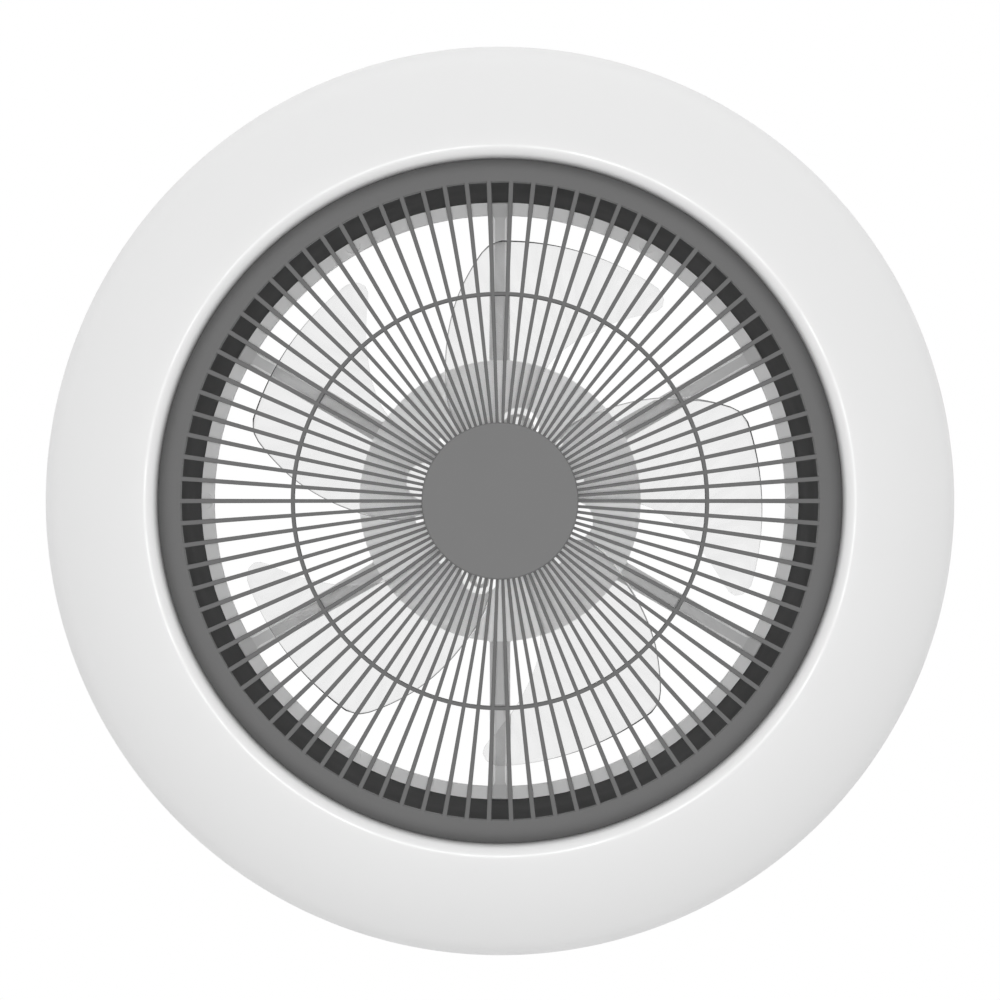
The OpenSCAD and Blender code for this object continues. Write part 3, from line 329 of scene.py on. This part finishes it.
def make_frame_plastic():
    """Pale moulding, with painted shade on its rim and deeper painted shade in the hollows of its
    arms.
    """
    material = plastic("frame_plastic", grey(0.91), 0.5, 0.01, 0.00002)
    tree, body, look = opened(material)
    place = add(tree, "ShaderNodeGroup", node_tree=ROUND_AXIS)
    # painted shade: the arms' hollows, between the disc and the rim and above the ridges, are
    # darker
    beyond_disc = ramp(tree, place, "Radius", DISC_ENDS)
    inside_rim = ramp(tree, place, "Radius", ARMS_END, (1.0, 0.0))
    above_ridge = ramp(tree, place, "Height", RIDGE_TOP)
    along = product(tree, beyond_disc, "Result", inside_rim, "Result")
    hollow = product(tree, along, 0, above_ridge, "Result")
    shade = ramp(tree, hollow, 0, (0.0, 1.0), (1.0, HOLLOW_SHADE))
    # painted shade on the rim, next to the duct's wall
    on_rim = ramp(tree, place, "Radius", RIM_STARTS, (1.0, RIM_SHADE))
    both = product(tree, shade, "Result", on_rim, "Result")
    film = put(add(tree, "ShaderNodeGroup", node_tree=DUST), Amount=0.2)
    wire(tree, scaled(tree, look, both), film, 0, "Colour")
    wire(tree, film, body, "Colour", "Base Color")
    return material


def make_clear_plastic():
    """Clear plastic with a faint grey tint, fine swirl marks and a little haze."""
    material = finish_material("clear_blade", MOULDED, {
        "Colour": grey(0.875), "Clouding": 0.004, "Roughness": 0.04, "Gloss_spread": 0.02,
        "Grain_scale": 90.0, "Grain_depth": 0.000004},
        Transmission_Weight=1.0, IOR=1.35, Metallic=0.0)
    tree, body, look = opened(material)
    # painted shade along the edges stands in for light running a long way through the tint where
    # it meets an edge
    edge = add(tree, "ShaderNodeAttribute", attribute_name="edge")
    shade = ramp(tree, edge, "Fac", (0.0, 1.0), (1.0, BLADE_EDGE_SHADE))
    wire(tree, scaled(tree, look, shade, "Result"), body, 0, "Base Color")
    # lamps shine through the blades, a little dimmed
    through = put(add(tree, "ShaderNodeBsdfTransparent"), Color=grey(0.93))
    path = add(tree, "ShaderNodeLightPath")
    mix = add(tree, "ShaderNodeMixShader")
    wire(tree, path, mix, "Is Shadow Ray", 0)
    wire(tree, body, mix, 0, 1)
    wire(tree, through, mix, 0, 2)
    wire(tree, mix, tree.nodes["Material Output"], 0, "Surface")
    return material


OPAL, FRAME, CLEAR = make_opal(), make_frame_plastic(), make_clear_plastic()
# name, colour, roughness, clouding, depth of grain, dust
GUARD = plastic("guard_plastic", grey(0.129), 0.55, 0.03, 0.00002)
CAP = plastic("cap_plastic", grey(0.163), 0.55, 0.002, 0.00001)
DUCT = plastic("duct_plastic", grey(0.075), 0.8, 0.05, 0.00003, 0.1, Specular_IOR_Level=0.05)
BRACKET = plastic("bracket_coat", grey(0.86), 0.5, 0.015, 0.00002, 0.06)
LACQUER = plastic("white_lacquer", grey(0.84), 0.38, 0.012, 0.00001, 0.22)
WHITE = plastic("white_housing", grey(0.78, 0.01), 0.48, 0.02, 0.00002, 0.15)
BLACK = plastic("lead_sleeve", grey(0.03), 0.6, 0.1, 0.00003, 0.1)
DARK = plastic("dark_moulding", grey(0.07), 0.5, 0.05, 0.00003, 0.1)
GREEN = plastic("board_mask", (0.02, 0.16, 0.06, 1), 0.35, 0.12, 0.00001)
PALE_BOARD = plastic("pale_board_mask", grey(0.85), 0.35, 0.02, 0.00001)
PHOSPHOR = plastic("led_phosphor", (0.86, 0.70, 0.25, 1), 0.4, 0.05, 0.00001)
FERRITE = plastic("magnet_ferrite", grey(0.035), 0.55, 0.15, 0.00004)
# name, colour, roughness, strength of streaks, dust
ZINC = metal("zinc_sheet", (0.62, 0.64, 0.66, 1), 0.36, 0.12, 0.18)
SCREW = metal("plated_screw", (0.66, 0.66, 0.67, 1), 0.28, 0.06, 0.05)
ALLOY = metal("cast_alloy", (0.60, 0.61, 0.62, 1), 0.45, 0.14, 0.1)
BELL = metal("drawn_bell", (0.42, 0.43, 0.45, 1), 0.34, 0.12)
CORE = metal("core_laminations", (0.20, 0.21, 0.23, 1), 0.5, 0.35)
COPPER = metal("enamelled_copper", (0.64, 0.26, 0.10, 1), 0.3, 0.3)
GROUND = metal("ground_steel", (0.72, 0.72, 0.73, 1), 0.14, 0.05)
BRASS = metal("turned_brass", (0.72, 0.52, 0.22, 1), 0.25, 0.1)
SPRING = metal("blued_spring", (0.10, 0.10, 0.13, 1), 0.3, 0.1)

FINISH_OF = {
    "ceiling_bracket": BRACKET, "canopy": LACQUER, "canopy_screws": SCREW, "frame": FRAME,
    "air_duct": DUCT, "frame_screws": SCREW, "lamp_pan": LACQUER, "light_tray": ZINC,
    "tray_screws": SCREW, "light_boards": PALE_BOARD, "light_sources": PHOSPHOR,
    "light_driver": WHITE, "driver_screws": SCREW, "hub_cap": CAP, "motor_base": ALLOY,
    "motor_screws": SCREW, "motor_board": GREEN, "stator_core": CORE, "windings": COPPER,
    "upper_bearing_outer": GROUND, "upper_bearing_inner": GROUND,
    "upper_bearing_balls": GROUND, "upper_bearing_cage": BRASS,
    "lower_bearing_outer": GROUND, "lower_bearing_inner": GROUND,
    "lower_bearing_balls": GROUND, "lower_bearing_cage": BRASS,
    "shaft": GROUND, "shaft_clip": SPRING, "rotor_bell": BELL, "magnets": FERRITE,
    "blade_screws": SCREW, "blade_nut": DARK, "controller_case": WHITE,
    "controller_lid": WHITE, "controller_board": GREEN, "controller_screws": SCREW,
    "terminal_block": WHITE, "terminal_screw": SCREW, "supply_lead": BLACK,
    "motor_lead": BLACK, "lamp_lead": BLACK, "board_lead": BLACK, "pan_grommet": DARK,
}
for node, material in FINISH_OF.items():
    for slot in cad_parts[node].material_slots:
        slot.material = material


# ---------------------------------------------------------------- mesh tools

def mesh_piece(name, points, faces, material, sharp=30.0, edge=None):
    """A piece from points in metres, shaded smooth except over edges sharper than the angle.
    edge gives each point's share of a painted dark edge."""
    mesh = bpy.data.meshes.new(name)
    mesh.from_pydata([tuple(p) for p in points], [], faces)
    if edge is not None:
        mesh.attributes.new("edge", "FLOAT", "POINT").data.foreach_set("value", edge)
    mesh.validate()
    mesh.update()
    mesh.shade_smooth()
    mesh.set_sharp_from_angle(angle=math.radians(sharp))
    mesh.materials.append(material)
    piece = bpy.data.objects.new(name, mesh)
    bpy.context.scene.collection.objects.link(piece)
    return piece


def arc(centre, radius, start, stop, steps):
    """Points on a circle, from one angle to another, in degrees."""
    angles = [math.radians(start + (stop - start) * i / steps) for i in range(steps + 1)]
    return [(centre[0] + radius * math.cos(a), centre[1] + radius * math.sin(a)) for a in angles]


def lathe(outline, steps, first=0.0, sweep=360.0):
    """Points and faces of a closed outline of (radius, z) in millimetres, turned about the axis.
    The outline runs anticlockwise with the radius to the right, so that faces point outwards."""
    whole = abs(sweep) >= 360.0
    rings = steps if whole else steps + 1
    angles = np.radians(first + sweep * np.arange(rings) / steps)
    count = len(outline)
    points = [(r * math.cos(a) * MM, r * math.sin(a) * MM, over_guard(z))
              for a in angles for r, z in outline]
    faces = []
    for i in range(steps):
        here, there = i * count, ((i + 1) % rings) * count
        for j in range(count):
            k = (j + 1) % count
            faces.append((here + j, there + j, there + k, here + k))
    if not whole:
        faces.append(tuple(range(count)))
        faces.append(tuple(reversed(range((rings - 1) * count, rings * count))))
    return points, faces


def lathed(name, outline, material, steps, first=0.0, sweep=360.0, sharp=30.0):
    return mesh_piece(name, *lathe(outline, steps, first, sweep), material, sharp)


def make_ring_tree():
    """Geometry nodes that set copies of a piece evenly round the axis."""
    tree = bpy.data.node_groups.new("copies_round_axis", "GeometryNodeTree")
    face = tree.interface
    face.new_socket("Piece", in_out="INPUT", socket_type="NodeSocketGeometry")
    face.new_socket("Copies", in_out="INPUT", socket_type="NodeSocketInt").default_value = 6
    face.new_socket("First angle", in_out="INPUT", socket_type="NodeSocketFloat")
    face.new_socket("Finish", in_out="INPUT", socket_type="NodeSocketMaterial")
    face.new_socket("Ring", in_out="OUTPUT", socket_type="NodeSocketGeometry")
    start, end = tree.nodes.new("NodeGroupInput"), tree.nodes.new("NodeGroupOutput")
    spots = add(tree, "GeometryNodePoints")
    wire(tree, start, spots, "Copies", "Count")
    number = add(tree, "GeometryNodeInputIndex")
    step = add(tree, "ShaderNodeMath", operation="DIVIDE")
    step.inputs[0].default_value = math.tau
    wire(tree, start, step, "Copies", 1)
    angle = maths(tree, "MULTIPLY_ADD")
    wire(tree, number, angle, 0, 0)
    wire(tree, step, angle, 0, 1)
    wire(tree, start, angle, "First angle", 2)
    turn = add(tree, "ShaderNodeCombineXYZ")
    wire(tree, angle, turn, 0, "Z")
    rotation = add(tree, "FunctionNodeEulerToRotation")
    wire(tree, turn, rotation)
    copies = add(tree, "GeometryNodeInstanceOnPoints")
    wire(tree, spots, copies, 0, "Points")
    wire(tree, start, copies, "Piece", "Instance")
    wire(tree, rotation, copies, 0, "Rotation")
    real = add(tree, "GeometryNodeRealizeInstances")
    wire(tree, copies, real)
    finish = add(tree, "GeometryNodeSetMaterial")
    wire(tree, real, finish, 0, "Geometry")
    wire(tree, start, finish, "Finish", "Material")
    wire(tree, finish, end, 0, "Ring")
    return tree


RING_TREE = make_ring_tree()


def ring_of(piece, copies, first_degrees, material):
    """Replaces a piece's mesh with its copies round the axis."""
    sockets = {s.name: s.identifier for s in RING_TREE.interface.items_tree
               if s.in_out == "INPUT"}
    modifier = piece.modifiers.new("copies", "NODES")
    modifier.node_group = RING_TREE
    modifier[sockets["Copies"]] = copies
    modifier[sockets["First angle"]] = math.radians(first_degrees)
    modifier[sockets["Finish"]] = material
    graph = bpy.context.evaluated_depsgraph_get()
    made = bpy.data.meshes.new_from_object(piece.evaluated_get(graph))
    piece.modifiers.remove(modifier)
    old, piece.data = piece.data, made
    made.name = piece.name
    bpy.data.meshes.remove(old)
    return piece


def merge(name, pieces):
    """One piece from several, by appending their meshes."""
    points, faces, edge = [], [], []
    for piece in pieces:
        base = len(points)
        points += [tuple(v.co) for v in piece.data.vertices]
        faces += [tuple(base + i for i in p.vertices) for p in piece.data.polygons]
        values = np.zeros(len(piece.data.vertices))
        if "edge" in piece.data.attributes:
            piece.data.attributes["edge"].data.foreach_get("value", values)
        edge += list(values)
    material = pieces[0].data.materials[0]
    for piece in pieces:
        bpy.data.objects.remove(piece)
    return mesh_piece(name, points, faces, material, edge=edge if any(edge) else None)


def weld(piece, distance=1e-6, sharp=50.0):
    """Merges points closer than the distance, so that edges where two skins meet are closed."""
    bm = bmesh.new()
    bm.from_mesh(piece.data)
    bmesh.ops.remove_doubles(bm, verts=bm.verts, dist=distance)
    bmesh.ops.recalc_face_normals(bm, faces=bm.faces)
    bm.to_mesh(piece.data)
    bm.free()
    piece.data.shade_smooth()
    piece.data.set_sharp_from_angle(angle=math.radians(sharp))


def stand_for(piece, body, slot, *nodes):
    """Sets a piece on its body, in the place of nodes of the part."""
    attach(piece, body)
    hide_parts(*nodes)


# ---------------------------------------------------------------- opal ring

LIP_CREST, LIP_R, BELLY_R, SIDE_R, LAMP_R = 191.2, 6.5, 80.12, 30.0, 250.0
OPAL_T, OPAL_TOP, LEDGE_H = 2.0, 52.0, 15.3
PAN_WALL, SNAP_GAP, SNAP_WALL, SNAP_H = 2.0, 0.3, 2.0, 6.0
OPAL_BREAK, SNAP_BREAK_W, SNAP_BREAK_H, SNAP_STEP = 0.4, 0.5, 0.6, 0.2


def opal_skin(depth, steps):
    """The ring's section from its inner lip to its outer side, set in by a depth."""
    belly_z = BELLY_R - LIP_R
    side_x = LAMP_R - SIDE_R
    side_z = belly_z - math.sqrt((BELLY_R - SIDE_R) ** 2 - (side_x - LIP_CREST) ** 2)
    turn = math.degrees(math.atan2(side_z - belly_z, side_x - LIP_CREST))
    return (arc((LIP_CREST, 0), LIP_R - depth, 180, 270, steps)
            + arc((LIP_CREST, belly_z), BELLY_R - depth, 270, 360 + turn, 2 * steps)[1:]
            + arc((side_x, side_z), SIDE_R - depth, 360 + turn, 360, steps)[1:])


def make_opal_ring():
    """The opal skin, with the snap rim that stands up inside the lamp pan's wall."""
    lip_in = LIP_CREST - LIP_R
    snap_in = LAMP_R - PAN_WALL - SNAP_GAP - SNAP_WALL
    snap_out = snap_in + SNAP_WALL
    section = ([(lip_in, LEDGE_H)] + opal_skin(0, 16)
               + [(LAMP_R, OPAL_TOP - OPAL_BREAK), (LAMP_R - OPAL_BREAK, OPAL_TOP),
                  (snap_out, OPAL_TOP), (snap_out, OPAL_TOP + SNAP_H - SNAP_BREAK_H),
                  (snap_out - SNAP_BREAK_W, OPAL_TOP + SNAP_H), (snap_in, OPAL_TOP + SNAP_H),
                  (snap_in, OPAL_TOP - SNAP_H), (LAMP_R - OPAL_T, OPAL_TOP - SNAP_H - SNAP_STEP)]
               + list(reversed(opal_skin(OPAL_T, 12))) + [(lip_in + OPAL_T, LEDGE_H)])
    return lathed("opal_ring", section, OPAL, steps=288, sharp=40.0)


OPAL_RING = make_opal_ring()
stand_for(OPAL_RING, "fixed_frame", "opal", "diffuser")

# ---------------------------------------------------------------- finger guard

BARS, BAR_IN_W, BAR_OUT_W, BAR_H, BAR_EDGE = 90, 1.6, 2.5, 4.5, 0.45
BAR_STEPS, BAR_INTO_CENTRE, BAR_INTO_BEZEL = 6, 1.0, 0.4
DUCT_R, CENTRE_OUT, CENTRE_IN, CENTRE_EDGE = 171.8, 41.4, 29.4, 0.4
TIE_R, TIE_W, TIE_EDGE = 111.6, 2.0, 0.5
SKIRT_IN, SKIRT_T, SKIRT_H = 174.6, 2.4, 13.0
SLOTS, FIRST_SLOT, SLOT_W, SLOT_OVERLAP, SLOT_LOW, SLOT_HIGH = 6, 30.0, 8.0, 1.0, 7.7, 11.3
BEZEL_R, BEZEL_RISE, BEZEL_LIP, BEZEL_EDGE = 184.5, 3.6, 2.0, 0.5
BEZEL_STEPS, BEZEL_TURN = 16, 75
# the bezel's back: where it starts to slope to the edge, and the step where it meets the skirt
BACK_SHARE, BACK_STEP = 0.55, 0.3
SET_BACK = 0.02     # keeps the rings' faces out of the planes of the bars' faces


def rounded_box(low, high, bottom, top, edge, steps=4):
    """A section with round lower corners, anticlockwise."""
    return (arc((low + edge, bottom + edge), edge, 180, 270, steps)
            + arc((high - edge, bottom + edge), edge, 270, 360, steps)
            + [(high, top), (low, top)])


def make_bar():
    """One bar along +X, widening outwards, with round lower edges."""
    first, last = CENTRE_OUT - BAR_INTO_CENTRE, DUCT_R + BAR_INTO_BEZEL
    stations = [first + (last - first) * i / BAR_STEPS for i in range(BAR_STEPS + 1)]
    points = []
    for x in stations:
        half = (BAR_IN_W + (BAR_OUT_W - BAR_IN_W) * (x - first) / (last - first)) / 2
        section = rounded_box(-half, half, 0, BAR_H, BAR_EDGE)
        points += [(x * MM, y * MM, over_guard(z)) for y, z in section]
    count = len(section)
    tail = BAR_STEPS * count
    faces = [tuple(reversed(range(count))), tuple(range(tail, tail + count))]
    for here in range(0, tail, count):
        there = here + count
        for j in range(count):
            k = (j + 1) % count
            faces.append((here + j, here + k, there + k, there + j))
    return mesh_piece("guard_bar", points, faces, GUARD, sharp=50.0)


def bezel_outline():
    """The bezel's section: round at the duct, level, then turning up to its edge."""
    start, skirt_out = SKIRT_IN + SKIRT_T - 1, SKIRT_IN + SKIRT_T
    width = BEZEL_R - start
    full_rise = 1 - math.cos(math.radians(BEZEL_TURN))
    turned_up = []
    for i in range(BEZEL_STEPS + 1):
        rise = 1 - math.cos(math.radians(BEZEL_TURN * i / BEZEL_STEPS))
        turned_up.append((start + width * i / BEZEL_STEPS, BEZEL_RISE * rise / full_rise))
    return (arc((DUCT_R + BEZEL_EDGE, BEZEL_EDGE), BEZEL_EDGE, 180, 270, 4) + turned_up
            + [(BEZEL_R, BEZEL_RISE + BEZEL_LIP), (start + width * BACK_SHARE, BAR_H),
               (skirt_out, BAR_H + BACK_STEP), (skirt_out, SLOT_LOW), (SKIRT_IN, SLOT_LOW),
               (SKIRT_IN, BAR_H), (DUCT_R, BAR_H)])


def skirt_parts():
    """The skirt above the bezel, with slots: a way in through the top, then a run to the side."""
    skirt_out, middle_r = SKIRT_IN + SKIRT_T, SKIRT_IN + SKIRT_T / 2
    run_end = math.degrees(SLOT_W / 2 / middle_r)
    way_in_start = math.degrees((SLOT_W / 2 - SLOT_OVERLAP) / middle_r)
    way_in_end = math.degrees((SLOT_W * 1.5 - SLOT_OVERLAP) / middle_r)
    top = [(skirt_out, SKIRT_H), (SKIRT_IN, SKIRT_H)]
    wall = [(SKIRT_IN, SLOT_LOW), (skirt_out, SLOT_LOW)] + top
    over = [(SKIRT_IN, SLOT_HIGH), (skirt_out, SLOT_HIGH)] + top
    pitch = 360 / SLOTS
    parts = []
    for i in range(SLOTS):
        middle = FIRST_SLOT + pitch * i
        parts.append(lathed("skirt", wall, GUARD, steps=24, first=middle + way_in_end,
                            sweep=pitch - run_end - way_in_end))
        parts.append(lathed("skirt_over", over, GUARD, steps=4, first=middle - run_end,
                            sweep=way_in_start + run_end))
    return parts


def make_guard():
    """Bars, tie ring, centre ring and bezel, with the skirt that turns onto the duct's studs."""
    tie = rounded_box(TIE_R - TIE_W / 2, TIE_R + TIE_W / 2, SET_BACK, BAR_H - SET_BACK, TIE_EDGE)
    centre = rounded_box(CENTRE_IN, CENTRE_OUT, SET_BACK, BAR_H, CENTRE_EDGE)
    parts = [ring_of(make_bar(), BARS, 0.0, GUARD),
             lathed("tie", tie, GUARD, steps=240),
             lathed("centre", centre, GUARD, steps=180),
             lathed("bezel", bezel_outline(), GUARD, steps=288)]
    return merge("finger_guard", parts + skirt_parts())


stand_for(make_guard(), "fixed_frame", "grille_plastic", "grille")

# ---------------------------------------------------------------- clear blades

BLADES, FIRST_BLADE, HUB_R, TIP_R, ROOT_INTO_HUB = 5, 180.0, 42.5, 146.4, 1.5
# height of the leading edge, how far the trailing edge lies below it, and the bow between them
LEADING_H, DROP, BOW = 57.0, 23.0, 3.0
# thickness at the two edges; TRAILING_THIN is the share by which it shrinks towards the trailing
# edge, and once more over the last TIP_TAPER of it before the tip
LEADING_T, TRAILING_T, TRAILING_THIN, TIP_TAPER = 2.4, 1.2, 0.8, 5.0
# width of the painted dark edge, its strength at the tip's front corner, and how much less it is
# at the tip's rear corner
EDGE_W, TIP_EDGE, TIP_EDGE_LOSS = 0.75, 0.45, 0.4
# even rows of points end at the first distance from the tip, and one more lies at the second
BLADE_ROWS, TIP_ROWS = 30, (3.0, 2.0)
# even columns of points between two shares of the chord
BLADE_COLUMNS, COLUMN_SHARES = 29, (0.02, 0.98)
# distances from the edges at which points make them round
RIM_STEPS = [0.0, 0.06, 0.2, 0.42, 0.75, 1.15]
# share of the way out, leading angle, trailing angle
BLADE_OUTLINE = [(0, -48.5, 0), (0.12, -48, 0), (0.26, -44.8, 0.2), (0.38, -40.6, 2),
                 (0.5, -36.9, 6), (0.62, -33.2, 10.8), (0.73, -29.7, 15.2), (0.83, -26.2, 19.2),
                 (0.9, -23.7, 21.6), (0.95, -21.8, 21.7), (0.98, -20.1, 20.6), (1, -17.6, 18.6)]
SHARES, LEADING, TRAILING = zip(*BLADE_OUTLINE)
# the hub's wall, and the plate across it that the motor's bell carries
HUB_WALL, HUB_LOW, HUB_HIGH, HUB_EDGE = 3.0, 33.0, 60.0, 0.6
PLATE_LOW, PLATE_HIGH, PLATE_HOLE_R, PLATE_CORNER = 49.0, 52.0, 8.0, 1.0


def smooth_curve(xs, ys, x):
    """A smooth curve through the points (a cubic with slopes from the neighbours)."""
    xs, ys = np.array(xs, float), np.array(ys, float)
    slopes = np.gradient(ys, xs)
    i = int(np.clip(np.searchsorted(xs, x) - 1, 0, len(xs) - 2))
    h = xs[i + 1] - xs[i]
    t = (x - xs[i]) / h
    return ((2 * t**3 - 3 * t**2 + 1) * ys[i] + (t**3 - 2 * t**2 + t) * h * slopes[i]
            + (-2 * t**3 + 3 * t**2) * ys[i + 1] + (t**3 - t**2) * h * slopes[i + 1])


def front_edge(root, count=400):
    """Points of the leading edge as it is seen from below."""
    points = []
    for r in np.linspace(root, TIP_R, count):
        a = math.radians(smooth_curve(SHARES, LEADING, (r - root) / (TIP_R - root)))
        points.append((r * math.cos(a), r * math.sin(a)))
    return np.array(points)


def half_thickness(t, from_tip):
    """Half a blade's thickness at a share of its chord, before its edge is made round."""
    half = (LEADING_T + (TRAILING_T - LEADING_T) * t) / 2
    half *= 1.0 - TRAILING_THIN * t * t
    return half * (1.0 - TRAILING_THIN * t * max(0.0, 1.0 - from_tip / TIP_TAPER))


def edge_shade(front, x, y, t, from_tip):
    """A point's share of the painted dark edge, which is full along the front and fainter at the
    tip.
    """
    to_front = float(np.min(np.hypot(front[:, 0] - x, front[:, 1] - y)))
    at_tip = (TIP_EDGE - TIP_EDGE_LOSS * t) * (1.0 - from_tip / EDGE_W)
    return max(1.0 - to_front / EDGE_W, at_tip, 0.0)


def sheet_faces(rows, cols):
    """Faces of a sheet whose points are a grid on top and then the same grid underneath. They
    close its first row, which is the blade's root inside the hub."""
    under = rows * cols
    faces = []
    for i in range(rows - 1):
        for j in range(cols - 1):
            a, d = i * cols + j, (i + 1) * cols + j
            b, c = a + 1, d + 1
            faces.append((d, c, b, a))
            faces.append((under + a, under + b, under + c, under + d))
    faces.append(tuple(range(cols)) + tuple(under + j for j in reversed(range(cols))))
    return faces


def make_blade():
    """One blade: a bowed, twisted sheet with a round edge on its three free sides."""
    root = HUB_R - ROOT_INTO_HUB
    radii = (list(np.linspace(root, TIP_R - TIP_ROWS[0], BLADE_ROWS)) + [TIP_R - TIP_ROWS[1]]
             + [TIP_R - d for d in reversed(RIM_STEPS)])
    front = front_edge(root)
    top, bottom, shades = [], [], []
    for r in radii:
        out = (r - root) / (TIP_R - root)
        from_tip = TIP_R - r
        lead = smooth_curve(SHARES, LEADING, out)
        trail = smooth_curve(SHARES, TRAILING, out)
        chord = math.radians(trail - lead) * r
        along = ([d / chord for d in RIM_STEPS] + list(np.linspace(*COLUMN_SHARES, BLADE_COLUMNS))
                 + [1 - d / chord for d in reversed(RIM_STEPS)])
        for t in sorted(along):
            angle = math.radians(lead + (trail - lead) * t)
            x, y = r * math.cos(angle), r * math.sin(angle)
            height = LEADING_H - DROP * t + BOW * 4 * t * (1 - t)
            half = half_thickness(t, from_tip)
            # the round edge
            near = min(t * chord, (1 - t) * chord, from_tip)
            inset = max(0.0, 1 - near / half)
            half *= math.sqrt(max(0.0, 1 - inset**2))
            top.append((x * MM, y * MM, over_guard(height + half)))
            bottom.append((x * MM, y * MM, over_guard(height - half)))
            shades.append(edge_shade(front, x, y, t, from_tip))
    faces = sheet_faces(len(radii), len(top) // len(radii))
    return mesh_piece("blade", top + bottom, faces, CLEAR, sharp=60.0, edge=shades * 2)


def hub_outline():
    """The hub's section: its wall with broken edges, and the plate across it with its hole."""
    wall_in = HUB_R - HUB_WALL
    return [(PLATE_HOLE_R, PLATE_LOW), (wall_in - PLATE_CORNER, PLATE_LOW),
            (wall_in, PLATE_LOW - PLATE_CORNER), (wall_in, HUB_LOW + HUB_EDGE),
            (wall_in + HUB_EDGE, HUB_LOW), (HUB_R - HUB_EDGE, HUB_LOW),
            (HUB_R, HUB_LOW + HUB_EDGE), (HUB_R, HUB_HIGH - HUB_EDGE),
            (HUB_R - HUB_EDGE, HUB_HIGH), (wall_in + HUB_EDGE, HUB_HIGH),
            (wall_in, HUB_HIGH - HUB_EDGE), (wall_in, PLATE_HIGH + PLATE_CORNER),
            (wall_in - PLATE_CORNER, PLATE_HIGH), (PLATE_HOLE_R, PLATE_HIGH)]


def make_blade_wheel():
    """The blades, moulded in one with their hub."""
    blades = ring_of(make_blade(), BLADES, FIRST_BLADE, CLEAR)
    wheel = merge("clear_blades", [blades, lathed("hub", hub_outline(), CLEAR, steps=192)])
    weld(wheel)
    return wheel


stand_for(make_blade_wheel(), "rotor", "clear", "blade_wheel")


# ---------------------------------------------------------------- stage

def make_floor():
    floor = bpy.data.meshes.new("floor")
    corners = [math.tau * i / FLOOR_CORNERS for i in range(FLOOR_CORNERS)]
    floor.from_pydata([(FLOOR_R * math.cos(a), FLOOR_R * math.sin(a), FLOOR_Z) for a in corners],
                      [], [tuple(range(FLOOR_CORNERS))])
    material = bpy.data.materials.new("pale_floor")
    material.use_nodes = True
    put(material.node_tree.nodes["Principled BSDF"], Base_Color=grey(FLOOR_GREY),
        Roughness=FLOOR_ROUGHNESS)
    floor.materials.append(material)
    piece = bpy.data.objects.new("floor", floor)
    bpy.context.scene.collection.objects.link(piece)


def make_world():
    """Soft studio light from a bright band over the horizon, stronger from +Y than from -Y.
    It is plain white where the camera, a gloss or a clear piece sees it."""
    world = bpy.data.worlds.new("studio")
    bpy.context.scene.world = world
    world.use_nodes = True
    tree = world.node_tree
    place = add(tree, "ShaderNodeTexCoord")
    parts = add(tree, "ShaderNodeSeparateXYZ")
    wire(tree, place, parts, "Generated", 0)
    band = ramp(tree, parts, "Z", (BAND_LOW, BAND_HIGH), (HORIZON_LIGHT, ZENITH_LIGHT),
                interpolation_type="SMOOTHSTEP")
    # 1 + (SIDE_SLOPE + END_RISE * y) * y
    rise = maths(tree, "MULTIPLY_ADD", END_RISE, SIDE_SLOPE)
    wire(tree, parts, rise, "Y", 0)
    side = maths(tree, "MULTIPLY_ADD", 1.0)
    wire(tree, rise, side, 0, 0)
    wire(tree, parts, side, "Y", 1)
    back = put(tree.nodes["Background"], Color=(1, 1, 1, 1))
    wire(tree, product(tree, band, "Result", side, 0), back, 0, "Strength")
    white = put(add(tree, "ShaderNodeBackground"), Color=(1, 1, 1, 1), Strength=1.0)
    path = add(tree, "ShaderNodeLightPath")
    seen = maths(tree, "ADD", use_clamp=True)
    wire(tree, path, seen, "Is Camera Ray", 0)
    wire(tree, path, seen, "Is Transmission Ray", 1)
    seen_too = maths(tree, "ADD", use_clamp=True)
    wire(tree, seen, seen_too, 0, 0)
    wire(tree, path, seen_too, "Is Glossy Ray", 1)
    mix = add(tree, "ShaderNodeMixShader")
    wire(tree, seen_too, mix, 0, 0)
    wire(tree, back, mix, 0, 1)
    wire(tree, white, mix, 0, 2)
    wire(tree, mix, tree.nodes["World Output"], 0, "Surface")


def make_lamp(name, at, aim, size, watts, shows_in_gloss=False):
    """A round lamp that the camera doesn't see."""
    data = bpy.data.lights.new(name, "AREA")
    data.shape = "DISK"
    data.size = size
    data.energy = watts
    lamp = bpy.data.objects.new(name, data)
    lamp.location = at
    lamp.rotation_euler = (Vector(aim) - Vector(at)).to_track_quat("-Z", "Y").to_euler()
    lamp.visible_camera = False
    lamp.visible_glossy = shows_in_gloss
    bpy.context.scene.collection.objects.link(lamp)
    return lamp


def make_lamps():
    make_lamp("lamp_below", LOW_LAMP_AT, (0, 0, 0), LOW_LAMP_SIZE, LOW_LAMP_WATTS)
    for side in (-1, 1):
        turn = math.radians(SIDE_LAMP_TURN * side)
        at = (SIDE_LAMP_REACH * math.sin(turn), SIDE_LAMP_REACH * math.cos(turn), SIDE_LAMP_Z)
        make_lamp("lamp_side", at, SIDE_LAMP_AIM, SIDE_LAMP_SIZE, SIDE_LAMP_WATTS)
    # a sheen on the opal ring, and on nothing else
    sheen = make_lamp("lamp_sheen", LOW_LAMP_AT, (0, 0, 0), SHEEN_SIZE, SHEEN_WATTS,
                      shows_in_gloss=True)
    sheen.visible_diffuse = False
    lit = bpy.data.collections.new("lit_by_sheen")
    lit.objects.link(OPAL_RING)
    sheen.light_linking.receiver_collection = lit


def make_camera():
    data = bpy.data.cameras.new("camera")
    data.sensor_width = CAMERA_SENSOR
    data.lens = CAMERA_LENS
    camera = bpy.data.objects.new("camera", data)
    camera.location = CAMERA_AT
    camera.rotation_euler = (0.0, math.pi, 0.0)
    bpy.context.scene.collection.objects.link(camera)
    bpy.context.scene.camera = camera


make_floor()
make_world()
make_lamps()
make_camera()
bpy.context.scene.view_settings.view_transform = "Standard"
